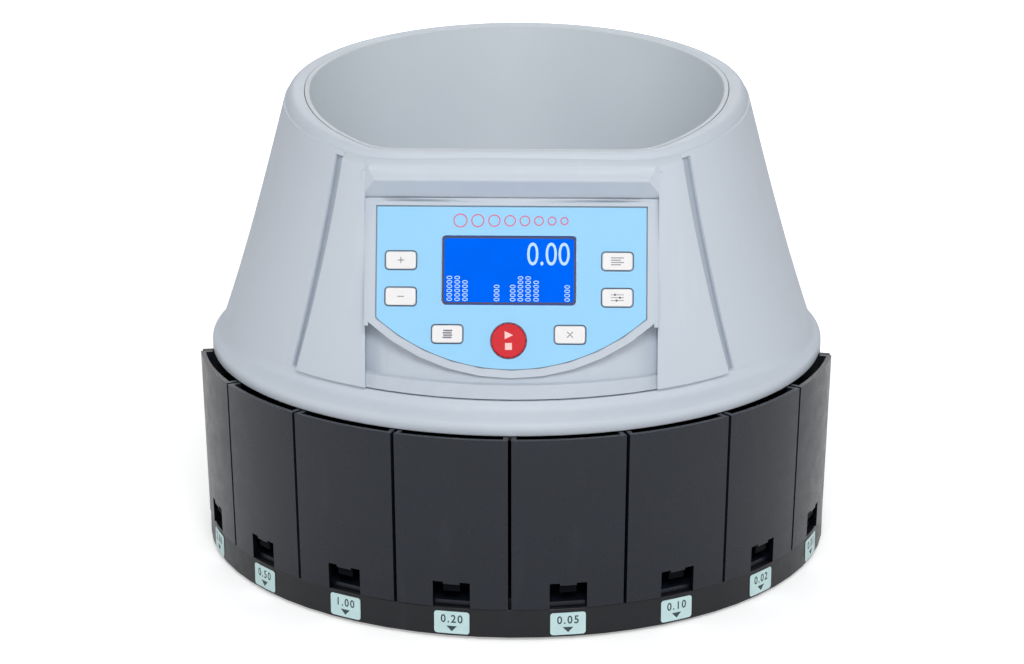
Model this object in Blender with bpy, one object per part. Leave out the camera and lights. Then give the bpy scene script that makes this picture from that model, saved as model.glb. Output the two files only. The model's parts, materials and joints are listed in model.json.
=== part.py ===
"""Coin sorting machine: a conical housing with a hopper and a key panel stands on a ring of eight
wedge-shaped coin drawers.

Metres, +Z up, front towards -Y. The shapes are drawn about the machine's own axis, which an empty
then sets back so that the origin lies on the floor under the middle of the whole. A station is an
angle about that axis, counted from the front towards +X.
"""

from math import acos, asin, atan2, cos, pi, radians, sin, sqrt, tan

import bmesh
import bpy
from mathutils import Matrix, Vector

# Clearances shared by all pieces
SEAT_GAP = 0.0003
OVERRUN = 0.002
SHARP_ANGLE = radians(32)
RING_SEGMENTS = 60
HUB_SEGMENTS = 20

# The base ring's radius sets the footprint: the other large radii follow from it
BASE_RADIUS = 0.1769

# Drawer ring
DRAWER_COUNT = 8
DRAWER_PITCH = radians(20)
DRAWER_STAND = 0.0007
DRAWER_DEPTH = 0.0794
DRAWER_FRONT_RADIUS = BASE_RADIUS + DRAWER_STAND
DRAWER_LEAN = 0.0024
DRAWER_HEIGHT = 0.0951
DRAWER_BACK_RADIUS = BASE_RADIUS - DRAWER_DEPTH
DRAWER_WALL = 0.0025
DRAWER_FLOOR = 0.0025
DRAWER_SIDE_DROP = 0.0154
DRAWER_SIDE_HEIGHT = DRAWER_HEIGHT - DRAWER_SIDE_DROP
DRAWER_GUSSET = 0.004
DRAWER_SIDE_CLEARANCE = 0.0009
DRAWER_ARC_STEPS = 6
WINDOW_WIDTH = 0.020
WINDOW_HEIGHT = 0.0145
TONGUE_WIDTH = 0.009
TONGUE_DROP = 0.0055
TONGUE_SETBACK = 0.0012

# Base ring, base tray and feet
FOOT_STAND = 0.002
FOOT_RADIUS = 0.010
FOOT_THICKNESS = 0.006
FOOT_CHAMFER = 0.001
FOOT_INSET = 0.0289
FOOT_CIRCLE_RADIUS = BASE_RADIUS - FOOT_INSET
FOOT_STATIONS = [radians(degrees) for degrees in (45, 135, -135, -45)]
BASE_HEIGHT = 0.016
BASE_WALL = 0.003
BASE_TOP = FOOT_STAND + BASE_HEIGHT
BASE_UNDERSIDE = BASE_TOP - BASE_WALL
GUIDE_RIB_WIDTH = 0.001
GUIDE_RIB_HEIGHT = 0.004

# Inner drum with the arms that carry the rail
DRUM_CLEARANCE = 0.0025
DRUM_RADIUS = DRAWER_BACK_RADIUS - DRUM_CLEARANCE
DRUM_WALL = 0.006
ARM_WIDTH = 0.006
ARM_DEPTH = 0.0037
ARM_STATIONS = [radians(degrees) for degrees in (0, 60, 120, -120, -60)]
DRAWER_BOTTOM = BASE_TOP + SEAT_GAP
DRAWER_TOP = DRAWER_BOTTOM + DRAWER_HEIGHT
DECK_LIFT = 0.0006
DECK_BOTTOM = DRAWER_TOP + DECK_LIFT
DRUM_TOP = DECK_BOTTOM - SEAT_GAP

# Skirt of the upper housing, which holds the rail inside it
SKIRT_INSET = 0.0041
SKIRT_WALL = 0.003
REAR_CUT = 0.0228
SKIRT_RADIUS = BASE_RADIUS - SKIRT_INSET
REAR_FLAT = SKIRT_RADIUS - REAR_CUT

# Sorting deck and coin rail: a coin drops at the first slot that leaves its inner edge unsupported
DECK_THICKNESS = 0.003
DECK_TOP = DECK_BOTTOM + DECK_THICKNESS
RAIL_BREADTH = 0.0448
FENCE_RADIUS = SKIRT_RADIUS - RAIL_BREADTH
FENCE_WALL = 0.003
FENCE_HEIGHT = 0.0067
LEDGE_WIDTH = 0.0015
RAIL_INNER_RADIUS = FENCE_RADIUS - LEDGE_WIDTH
RAIL_OUTER_RADIUS = SKIRT_RADIUS - SKIRT_WALL - SEAT_GAP
ARM_REACH = RAIL_OUTER_RADIUS - SEAT_GAP
DECK_RADIUS = RAIL_INNER_RADIUS - SEAT_GAP
COVER_OVERHANG = 0.002
COVER_THICKNESS = 0.0025
COVER_BOTTOM = DECK_TOP + FENCE_HEIGHT + SEAT_GAP
COIN_DIAMETERS = (0.02575, 0.02425, 0.02325, 0.02225, 0.02125, 0.01975, 0.01875, 0.01625)
SLOT_SIDE_ALLOWANCE = 0.004
SLOT_RELIEF = 0.0004

# Rotor on its spindle
SPINDLE_RADIUS = 0.004
RUNNING_GAP = 0.0003
ROTOR_THICKNESS = 0.003
ROTOR_CLEARANCE = 0.002
FINGER_LENGTH = 0.030
ROTOR_REACH = FENCE_RADIUS - ROTOR_CLEARANCE
ROTOR_HUB_RADIUS = ROTOR_REACH - FINGER_LENGTH
ROTOR_FINGERS = 9
FINGER_WIDTH = 0.010
ROTOR_BOTTOM = DECK_TOP + SEAT_GAP
ROTOR_TOP = ROTOR_BOTTOM + ROTOR_THICKNESS
CAP_RADIUS = 0.022
CAP_HEIGHT = 0.011
BEARING_RADIUS = 0.015
BEARING_FLANGE_RADIUS = 0.024
BEARING_FLANGE_THICKNESS = 0.003
BEARING_LENGTH = 0.2177 * DRAWER_HEIGHT
PULLEY_HEIGHT = 0.010
PULLEY_FLANGE = 0.002
PULLEY_CHEEK = 0.0015
BELT_RATIO = 2.8333
ROTOR_PULLEY_RADIUS = 0.358 * DRUM_RADIUS
MOTOR_PULLEY_RADIUS = ROTOR_PULLEY_RADIUS / BELT_RATIO
BELT_THICKNESS = 0.0015
BELT_SIDE_CLEARANCE = 0.0004
MOTOR_OFFSET = 0.59 * DRUM_RADIUS
MOTOR_RADIUS = 0.25 * DRUM_RADIUS
MOTOR_LENGTH = 0.46 * DRAWER_HEIGHT
MOTOR_BOSS_RADIUS = 0.008
MOTOR_BOSS_HEIGHT = 0.002
MOTOR_SHAFT_RADIUS = 0.003
BEARING_BOTTOM = DECK_BOTTOM - SEAT_GAP - BEARING_LENGTH
PULLEY_TOP = BEARING_BOTTOM - SEAT_GAP
PULLEY_BOTTOM = PULLEY_TOP - PULLEY_HEIGHT
BRACKET_THICKNESS = 0.003
BRACKET_HALF_WIDTH = 0.337 * DRUM_RADIUS
BRACKET_HALF_DEPTH = 0.274 * DRUM_RADIUS
BRACKET_DROP = 0.003
BRACKET_TOP = PULLEY_BOTTOM - BRACKET_DROP
BRACKET_BOTTOM = BRACKET_TOP - BRACKET_THICKNESS

# Upper housing: a skirt over the deck, then walls ruled from a circle up to the rim outline
SKIRT_STRAIGHT = 0.0037
SKIRT_HEIGHT = 0.0167
SHOULDER_STEP = 0.0107
HOUSING_WALL = 0.003
CONE_FOOT_RADIUS = SKIRT_RADIUS - SHOULDER_STEP
SHOULDER_INNER_RADIUS = CONE_FOOT_RADIUS - HOUSING_WALL
SKIRT_OVERLAP = 0.0001
HOUSING_BOTTOM = DRAWER_TOP - SKIRT_OVERLAP
SKIRT_SHOULDER = DECK_TOP + SEAT_GAP
CONE_FOOT_HEIGHT = HOUSING_BOTTOM + SKIRT_HEIGHT
SKIRT_ROUND_SHARES = ((1.0, 0.0), (0.90, 0.20), (0.62, 0.37), (0.24, 0.56), (0.05, 0.85))
WALL_RISE = 0.1308
SIDE_TAPER = 0.0326
FRONT_TAPER = 0.0121
CHORD_SETBACK = 0.0371
RIM_HEIGHT = CONE_FOOT_HEIGHT + WALL_RISE
RIM_TILT = radians(3.9)
RIM_SIDE_RADIUS = CONE_FOOT_RADIUS - SIDE_TAPER
RIM_FRONT_REACH = CONE_FOOT_RADIUS - FRONT_TAPER
RIM_FRONT_CHORD = CONE_FOOT_RADIUS - CHORD_SETBACK
RIM_CORNER_BLEND = 0.010
RIM_SIDE_FILLET = 0.0065
RIM_FRONT_FILLET = 0.003
APRON_RAISE = 0.0022
APRON_STATION = radians(44)
APRON_STEP = radians(0.8)
APRON_CLEARANCE = radians(1.5)
APRON_FADE = 0.008
LIP_DEPTH = 0.004
HOUSING_STATION_STEP = 6
CORNER_STATIONS = (27, 33, 39)

# Hopper bowl
SIDE_BAND = 0.0145
FRONT_BAND = 0.005
CHORD_BAND = 0.009
THROAT_STEP = 0.049
BOWL_SIDE_RADIUS = RIM_SIDE_RADIUS - SIDE_BAND
BOWL_FRONT_REACH = RIM_FRONT_REACH - FRONT_BAND
BOWL_FRONT_CHORD = RIM_FRONT_CHORD - CHORD_BAND
BOWL_CORNER_BLEND = 0.008
BOWL_LIP = 0.003
BOWL_LIP_EASE = 0.0008
BOWL_WALL = 0.0023
THROAT_RADIUS = BOWL_SIDE_RADIUS - THROAT_STEP
BOWL_STATIONS = 60

# Front panel, in its own plane: u across, v up the slope, n outwards
BROW_DROP = 0.0208
BROW_STAND = 0.0025
BROW_OVERHANG = 0.00873
BROW_COVE = 0.0169
BROW_HEIGHT = RIM_HEIGHT - BROW_DROP
BROW_CHORD = RIM_FRONT_CHORD + BROW_STAND
PANEL_FOOT = CONE_FOOT_RADIUS
PANEL_LEAN = atan2(PANEL_FOOT - BROW_CHORD + BROW_OVERHANG, BROW_HEIGHT - CONE_FOOT_HEIGHT)
PANEL_HALF_WIDTH = 0.078
PANEL_SETBACK = 0.003
PANEL_WALL = 0.0025
LINTEL_DEPTH = 0.008
OVERLAY_SIDE_MARGIN = 0.007
OVERLAY_HALF_WIDTH = PANEL_HALF_WIDTH - OVERLAY_SIDE_MARGIN
OVERLAY_TOP = (BROW_HEIGHT - CONE_FOOT_HEIGHT) / cos(PANEL_LEAN) - BROW_COVE
OVERLAY_SIDE_BOTTOM = 0.4166 * OVERLAY_TOP
OVERLAY_BOTTOM = 0.1490 * OVERLAY_TOP
LEDGE_HEIGHT = 0.0690 * OVERLAY_TOP
OVERLAY_THICKNESS = 0.0008
POCKET_DEPTH = 0.0013
BEZEL_BAND = 0.004
PLATE_THICKNESS = 0.003
TUB_WALL = 0.0025
TUB_DEPTH = 0.0125
PANEL_ARC_STEPS = 10
SIDE_KEY_INSET = 0.0145
SIDE_KEY_COLUMN = OVERLAY_HALF_WIDTH - SIDE_KEY_INSET
LOWER_KEY_COLUMN = 0.5664 * SIDE_KEY_COLUMN
UPPER_KEY_ROW = 0.7155 * OVERLAY_TOP
MIDDLE_KEY_ROW = 0.5280 * OVERLAY_TOP
LOWER_KEY_ROW = 0.3356 * OVERLAY_TOP
START_KEY_ROW = 0.3030 * OVERLAY_TOP
SCREEN_SIDE_GAP = 0.0215
SCREEN_CENTRE = 0.6662 * OVERLAY_TOP
SCREEN_WIDTH = 2 * (SIDE_KEY_COLUMN - SCREEN_SIDE_GAP)
SCREEN_HEIGHT = 0.3533 * OVERLAY_TOP
SCREEN_CORNER = 0.002
SCREEN_SINK = 0.0004
MODULE_MARGIN = 0.004
KEY_SHIFT = -0.0012
KEY_WIDTH = 0.0157
KEY_HEIGHT = 0.0091
KEY_CORNER = 0.0015
KEY_STAND = 0.0006
KEY_EASE = 0.0004
KEY_FLANGE = 0.001
KEY_FLANGE_THICKNESS = 0.0012
KEY_TRAVEL = 0.0008
KEY_SIDE_GAP = 0.0003
START_KEY_RADIUS = 0.0090
SWITCH_SIZE = 0.006
BOARD_DEPTH = 0.0096
BOARD_THICKNESS = 0.0016
BOARD_EDGE_GAP = 0.0006
BOARD_BOSS_RADIUS = 0.0024
BOSS_SIDE_INSET = 0.0022
BOSS_SIDE_COLUMN = OVERLAY_HALF_WIDTH - BOSS_SIDE_INSET
BOSS_SIDE_ROW = (UPPER_KEY_ROW + MIDDLE_KEY_ROW) / 2
BOSS_LOWER_COLUMN = 0.017
BOSS_LOWER_DROP = 0.0092
BOSS_LOWER_ROW = START_KEY_ROW - BOSS_LOWER_DROP

# Rear cover with its flat back
REAR_WALL = 0.003
REAR_CHEEK_CLEARANCE = 0.001
REAR_CHEEK = 0.0025
REAR_CHEEK_GAP = 0.0015
REAR_CHEEK_INNER_RADIUS = DRUM_RADIUS + REAR_CHEEK_GAP
REAR_TOP = HOUSING_BOTTOM - SEAT_GAP
FITTING_LIFT = 0.028
FITTING_HEIGHT = BASE_TOP + FITTING_LIFT
INLET_X = -0.030
INLET_FLANGE = (0.050, 0.0225)
INLET_BODY = (0.0274, 0.020)
INLET_SOCKET = (0.0245, 0.0168)
INLET_FLANGE_THICKNESS = 0.002
INLET_BODY_DEPTH = 0.022
INLET_SOCKET_DEPTH = 0.018
INLET_SCREW_SPREAD = 0.020
INLET_CORNER = 0.002
INLET_PIN = (0.002, 0.004)
INLET_PIN_LENGTH = 0.0125
INLET_PIN_SPREAD = 0.007
INLET_PIN_RISE = 0.0022
HOLE_CLEARANCE = 0.0003
SWITCH_X = 0.026
SWITCH_FLANGE = (0.015, 0.021)
SWITCH_BODY = (0.0134, 0.0194)
SWITCH_OPENING = (0.0116, 0.0174)
SWITCH_FLANGE_THICKNESS = 0.002
SWITCH_BODY_DEPTH = 0.014
SWITCH_OPENING_DEPTH = 0.0113
ROCKER_RADIUS = 0.0082
ROCKER_HALF_LENGTH = 0.0076
ROCKER_END_HEIGHT = 0.003
ROCKER_CENTRE_HEIGHT = 0.0014
ROCKER_BACK = 0.004
ROCKER_AXIS_STAND = 0.0006
ROCKER_TILT = radians(10)

# Fasteners
SCREW_HEAD_RADIUS = 0.0032
SCREW_HEAD_HEIGHT = 0.0020
SCREW_SHANK_RADIUS = 0.0014
SCREW_LENGTH = 0.007
BOARD_SCREW_LENGTH = 0.0055
SCREW_SEGMENTS = 10
BASE_SCREW_CIRCLE = DRUM_RADIUS - DRUM_WALL / 2
BASE_SCREW_STATIONS = [radians(degrees) for degrees in (40, 140, -140, -40)]

# Boards inside the drum and behind it
STANDOFF_RADIUS = 0.003
STANDOFF_HEIGHT = 0.006
SUPPLY_STAND = 0.0175
MAIN_BOARD_CENTRE = (0.0, -0.45 * DRUM_RADIUS)
MAIN_BOARD_SIZE = (0.94 * DRUM_RADIUS, 0.60 * DRUM_RADIUS)
SUPPLY_CENTRE = (0.0, DRUM_RADIUS + SUPPLY_STAND)
SUPPLY_SIZE = (0.94 * DRUM_RADIUS, 0.26 * DRUM_RADIUS)
BOARD_INSET = 0.005
COMPONENT_SINK = 0.0005
MAIN_COMPONENT_SHARES = ((-0.25, 0.15, 0.28, 0.30, 0.07), (0.22, 0.22, 0.20, 0.26, 0.155), (0.25, -0.30, 0.30, 0.12, 0.17))
SUPPLY_COMPONENT_SHARES = ((-0.20, 0.0, 0.32, 0.76, 0.77), (0.12, 0.10, 0.14, 0.50, 0.69), (0.33, -0.10, 0.10, 0.50, 0.92))
SENSOR_STATION = radians(88)
SENSOR_STAND = 0.014
SENSOR_RADIUS = FENCE_RADIUS + SENSOR_STAND
SENSOR_SIZE = (0.014, 0.016, 0.013)

# Turns a shape's +Z to the machine's back, +Y, or to its front, -Y, and its +Y to up.
BACK_TURN = Matrix(((-1, 0, 0, 0), (0, 0, 1, 0), (0, 1, 0, 0), (0, 0, 0, 1)))
FRONT_TURN = Matrix(((1, 0, 0, 0), (0, 0, -1, 0), (0, 1, 0, 0), (0, 0, 0, 1)))


def material(name, colour, roughness, metallic=0.0):
    """A Principled material with one colour."""
    made = bpy.data.materials.new(name)
    made.use_nodes = True
    shader = made.node_tree.nodes["Principled BSDF"]
    shader.inputs["Base Color"].default_value = (*colour, 1.0)
    shader.inputs["Roughness"].default_value = roughness
    shader.inputs["Metallic"].default_value = metallic
    return made


def new_object(name, shape):
    """Closes a bmesh into an object of that name, with its faces pointing out."""
    bmesh.ops.recalc_face_normals(shape, faces=shape.faces)
    mesh = bpy.data.meshes.new(name)
    shape.to_mesh(mesh)
    shape.free()
    made = bpy.data.objects.new(name, mesh)
    bpy.context.scene.collection.objects.link(made)
    return made


def finish(made, surface, parent=None, smooth=False):
    """Gives a finished object its material, its parent and its shading."""
    made.data.materials.clear()
    made.data.materials.append(surface)
    if parent is not None:
        made.parent = parent
    if smooth:
        made.data.shade_smooth()
        made.data.set_sharp_from_angle(angle=SHARP_ANGLE)
    return made


def combine(target, other, operation):
    """Joins, cuts or intersects the target with another object, which is used up."""
    modifier = target.modifiers.new(operation.title(), "BOOLEAN")
    modifier.operation = operation
    modifier.solver = "EXACT"
    modifier.object = other
    bpy.context.view_layer.update()
    graph = bpy.context.evaluated_depsgraph_get()
    result = bpy.data.meshes.new_from_object(target.evaluated_get(graph))
    target.modifiers.remove(modifier)
    used = [target.data, other.data]
    target.data = result
    bpy.data.objects.remove(other)
    for mesh in used:
        if mesh.users == 0:
            bpy.data.meshes.remove(mesh)
    return target


def cut(target, cutter):
    return combine(target, cutter, "DIFFERENCE")


def add(target, other):
    return combine(target, other, "UNION")


def direction(station):
    """The unit vector from the machine's axis towards a station."""
    return Vector((sin(station), -cos(station), 0.0))


def around(station, radius, height):
    return direction(station) * radius + Vector((0.0, 0.0, height))


def bridge(shape, ring, after):
    """Faces between two rings of points, either of which may be a single point."""
    count = max(len(ring), len(after))
    for i in range(count):
        j = (i + 1) % count
        corners = [ring[i % len(ring)], ring[j % len(ring)], after[j % len(after)], after[i % len(after)]]
        corners = list(dict.fromkeys(corners))
        if len(corners) > 2:
            shape.faces.new(corners)


def stacked(name, layers):
    """A solid through outlines of equal point counts, each a pair of its points and its height."""
    shape = bmesh.new()
    rings = [[shape.verts.new((x, y, height)) for x, y in outline] for outline, height in layers]
    shape.faces.new(rings[0])
    shape.faces.new(rings[-1])
    for ring, after in zip(rings, rings[1:]):
        bridge(shape, ring, after)
    return new_object(name, shape)


def prism(name, outline, bottom, top):
    return stacked(name, [(outline, bottom), (outline, top)])


def box(name, low, high):
    corners = [(low[0], low[1]), (high[0], low[1]), (high[0], high[1]), (low[0], high[1])]
    return prism(name, corners, low[2], high[2])


def circle(radius, segments, centre=(0.0, 0.0)):
    turns = [2 * pi * i / segments for i in range(segments)]
    return [(centre[0] + radius * sin(turn), centre[1] - radius * cos(turn)) for turn in turns]


def flat_back_outline(radius, flat):
    """A circle cut flat behind, at y = flat."""
    last = acos(-flat / radius)
    turns = [last * (2 * step / (RING_SEGMENTS - 6) - 1) for step in range(RING_SEGMENTS - 5)]
    return [(radius * sin(turn), -radius * cos(turn)) for turn in turns]


def cylinder(name, radius, bottom, top, segments=HUB_SEGMENTS, centre=(0.0, 0.0)):
    return prism(name, circle(radius, segments, centre), bottom, top)


def rectangle(width, height, centre=(0.0, 0.0)):
    x, y = centre
    return [(x + width * i / 2, y + height * j / 2) for i, j in ((-1, -1), (1, -1), (1, 1), (-1, 1))]


def rounded(width, height, corner, steps=2, centre=(0.0, 0.0)):
    """A rectangle's outline with round corners."""
    outline = []
    for quarter, (i, j) in enumerate(((1, -1), (1, 1), (-1, 1), (-1, -1))):
        x = centre[0] + i * (width / 2 - corner)
        y = centre[1] + j * (height / 2 - corner)
        for step in range(steps + 1):
            turn = pi / 2 * (quarter - 1 + step / steps)
            outline.append((x + corner * cos(turn), y + corner * sin(turn)))
    return outline


def turned(name, profile, segments):
    """A solid turned about Z from a closed profile of radii and heights."""
    shape = bmesh.new()
    rings = []
    for radius, height in profile:
        if radius == 0:
            rings.append([shape.verts.new((0.0, 0.0, height))])
        else:
            rings.append([shape.verts.new((x, y, height)) for x, y in circle(radius, segments)])
    for ring, after in zip(rings, rings[1:] + rings[:1]):
        bridge(shape, ring, after)
    return new_object(name, shape)


def ring_loft(name, sections):
    """A ring through closed sections of equal point counts, the last joined to the first."""
    shape = bmesh.new()
    loops = [[shape.verts.new(point) for point in section] for section in sections]
    for loop, after in zip(loops, loops[1:] + loops[:1]):
        bridge(shape, loop, after)
    return new_object(name, shape)


def bar_loft(name, sections):
    """A bar through closed sections of equal point counts, with flat ends."""
    shape = bmesh.new()
    loops = [[shape.verts.new(point) for point in section] for section in sections]
    shape.faces.new(loops[0])
    shape.faces.new(loops[-1])
    for loop, after in zip(loops, loops[1:]):
        bridge(shape, loop, after)
    return new_object(name, shape)


def spokes(name, stations, start, end, width, bottom, top):
    """Separate radial bars in one object, to be joined to a solid."""
    shape = bmesh.new()
    for station in stations:
        side = direction(station + pi / 2) * width / 2
        rings = []
        for height in (bottom, top):
            inner = around(station, start, height)
            outer = around(station, end, height)
            corners = (inner - side, outer - side, outer + side, inner + side)
            rings.append([shape.verts.new(corner) for corner in corners])
        shape.faces.new(rings[0])
        shape.faces.new(rings[1])
        bridge(shape, *rings)
    return new_object(name, shape)


def place(made, station, radius, height=0.0):
    """Puts an object at a station, turned so that its -Y side faces outwards."""
    made.location = around(station, radius, height)
    made.rotation_euler.z = station
    return made


def pan_screw(name, length=SCREW_LENGTH):
    """A pan-head screw whose head lies below its seat at z = 0 and whose shank points up."""
    ease = SCREW_HEAD_HEIGHT / 3
    profile = [
        (0.0, -SCREW_HEAD_HEIGHT),
        (SCREW_HEAD_RADIUS - ease, -SCREW_HEAD_HEIGHT),
        (SCREW_HEAD_RADIUS, -SCREW_HEAD_HEIGHT + ease),
        (SCREW_HEAD_RADIUS, 0.0),
        (SCREW_SHANK_RADIUS, 0.0),
        (SCREW_SHANK_RADIUS, length - ease),
        (SCREW_SHANK_RADIUS - ease, length),
        (0.0, length),
    ]
    return turned(name, profile, SCREW_SEGMENTS)


def blend_least(first, second, reach):
    """The smaller of two values, with a smooth passage where they are within reach of each other."""
    share = min(max(0.5 + 0.5 * (second - first) / reach, 0.0), 1.0)
    return second + (first - second) * share - reach * share * (1.0 - share)


def outline_radius(station, side_radius, front_reach, chord, blend):
    """Radius of an outline that is round behind, swells in front and is cut flat by a front chord."""
    across, ahead = sin(station), cos(station)
    if ahead <= 0:
        return side_radius
    swell = 1 / sqrt((across / side_radius) ** 2 + (ahead / front_reach) ** 2)
    if ahead * front_reach * 2 < chord:
        return swell
    return blend_least(swell, chord / ahead, blend)


def rim_height(station, radius):
    """Height of the tilted rim plane at a point."""
    return RIM_HEIGHT - radius * cos(station) * tan(RIM_TILT)


def rim_outer(station):
    return outline_radius(station, RIM_SIDE_RADIUS, RIM_FRONT_REACH, RIM_FRONT_CHORD, RIM_CORNER_BLEND)


def bowl_inner(station):
    return outline_radius(station, BOWL_SIDE_RADIUS, BOWL_FRONT_REACH, BOWL_FRONT_CHORD, BOWL_CORNER_BLEND)


def lip_radius(station):
    return bowl_inner(station) + BOWL_LIP


def rim_fillet(station):
    """The rim's outer rounding, tighter above the panel than at the sides."""
    ahead = max(cos(station), 0.0) ** 2
    return RIM_SIDE_FILLET + (RIM_FRONT_FILLET - RIM_SIDE_FILLET) * ahead


def wall_top(station):
    """Radius and height where the housing's ruled wall meets the rim's rounding."""
    radius = rim_outer(station)
    return radius, rim_height(station, radius) - rim_fillet(station)


def wall_radius(station, height):
    """Radius of the housing's ruled wall at a height."""
    top_radius, top = wall_top(station)
    share = (height - CONE_FOOT_HEIGHT) / (top - CONE_FOOT_HEIGHT)
    return CONE_FOOT_RADIUS + (top_radius - CONE_FOOT_RADIUS) * share


def flat_back_top():
    """Height at which the round wall has come in to the machine's flat back."""
    top_radius, top = wall_top(pi)
    share = (CONE_FOOT_RADIUS - REAR_FLAT) / (CONE_FOOT_RADIUS - top_radius)
    return CONE_FOOT_HEIGHT + (top - CONE_FOOT_HEIGHT) * share


def wall_depth(x, height, inset):
    """How far in front of the axis the wall lies at a place across the front, less an inset."""
    station = asin(x / CONE_FOOT_RADIUS)
    for _ in range(12):
        radius = wall_radius(station, height) - inset
        station = asin(x / radius)
    return radius * cos(station)


def foot():
    """One rubber foot, standing on the floor."""
    profile = [
        (0.0, 0.0),
        (FOOT_RADIUS - FOOT_CHAMFER, 0.0),
        (FOOT_RADIUS, FOOT_CHAMFER),
        (FOOT_RADIUS, FOOT_THICKNESS),
        (0.0, FOOT_THICKNESS),
    ]
    return turned("foot", profile, HUB_SEGMENTS)


def base_ring():
    """The ring that hides the feet and carries the labels, round the tray."""
    ring = prism("base_ring", flat_back_outline(BASE_RADIUS, REAR_FLAT), FOOT_STAND, BASE_TOP)
    inside = flat_back_outline(BASE_RADIUS - BASE_WALL, REAR_FLAT - BASE_WALL)
    return cut(ring, prism("inside", inside, FOOT_STAND - OVERRUN, BASE_TOP + OVERRUN))


def base_tray():
    """The plate that everything stands on, with guide ribs between the drawers and bosses for the feet."""
    outline = flat_back_outline(BASE_RADIUS - BASE_WALL - SEAT_GAP, REAR_FLAT - BASE_WALL - SEAT_GAP)
    tray = prism("base_tray", outline, BASE_UNDERSIDE, BASE_TOP)
    seams = [DRAWER_PITCH * (i - DRAWER_COUNT / 2) for i in range(DRAWER_COUNT + 1)]
    rib_start = DRUM_RADIUS + GUIDE_RIB_HEIGHT
    rib_end = BASE_RADIUS - BASE_WALL - GUIDE_RIB_HEIGHT
    rib_foot = BASE_TOP - BASE_WALL / 2
    add(tray, spokes("ribs", seams, rib_start, rib_end, GUIDE_RIB_WIDTH, rib_foot, BASE_TOP + GUIDE_RIB_HEIGHT))
    for station in FOOT_STATIONS:
        centre = around(station, FOOT_CIRCLE_RADIUS, 0.0).xy
        boss_bottom = FOOT_THICKNESS + SEAT_GAP
        add(tray, cylinder("boss", FOOT_RADIUS, boss_bottom, rib_foot, 16, centre))
    for centre, size in ((MAIN_BOARD_CENTRE, MAIN_BOARD_SIZE), (SUPPLY_CENTRE, SUPPLY_SIZE)):
        inset = 2 * BOARD_INSET
        for corner in rectangle(size[0] - inset, size[1] - inset, centre):
            standoff_top = BASE_TOP + STANDOFF_HEIGHT
            add(tray, cylinder("standoff", STANDOFF_RADIUS, rib_foot, standoff_top, 10, corner))
    for station in BASE_SCREW_STATIONS:
        centre = around(station, BASE_SCREW_CIRCLE, 0.0).xy
        hole_radius = SCREW_SHANK_RADIUS + HOLE_CLEARANCE
        cut(tray, cylinder("hole", hole_radius, BASE_UNDERSIDE - OVERRUN, BASE_TOP + OVERRUN, 12, centre))
    return tray


def inner_drum():
    """The drum around the drive, with the arms under the rail."""
    bottom = BASE_TOP + SEAT_GAP
    drum = turned("inner_drum", [
        (DRUM_RADIUS, bottom),
        (DRUM_RADIUS, DRUM_TOP),
        (DRUM_RADIUS - DRUM_WALL, DRUM_TOP),
        (DRUM_RADIUS - DRUM_WALL, bottom),
    ], RING_SEGMENTS)
    start = DRUM_RADIUS - DRUM_WALL / 2
    add(drum, spokes("arms", ARM_STATIONS, start, ARM_REACH, ARM_WIDTH, DRUM_TOP - ARM_DEPTH, DRUM_TOP))
    for station in BASE_SCREW_STATIONS:
        centre = around(station, BASE_SCREW_CIRCLE, 0.0).xy
        hole_radius = SCREW_SHANK_RADIUS + HOLE_CLEARANCE
        hole_top = BASE_UNDERSIDE + SCREW_LENGTH + SEAT_GAP
        cut(drum, cylinder("hole", hole_radius, bottom - OVERRUN, hole_top, 12, centre))
    return drum


def wedge_outline(front_radius, back_radius, side_inset):
    """The plan of a drawer or of its inside: a wedge that faces -Y, with a round front."""
    half = DRAWER_PITCH / 2
    outline = []
    for side in (-1, 1):
        seam = direction(side * half)
        inward = direction(side * half - side * pi / 2)
        if side < 0:
            outline.append((seam * back_radius + inward * side_inset).xy)
            first = half - asin(side_inset / front_radius)
            for step in range(DRAWER_ARC_STEPS + 1):
                station = first * (2 * step / DRAWER_ARC_STEPS - 1)
                outline.append((direction(station) * front_radius).xy)
        else:
            outline.append((seam * back_radius + inward * side_inset).xy)
    return outline


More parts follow.
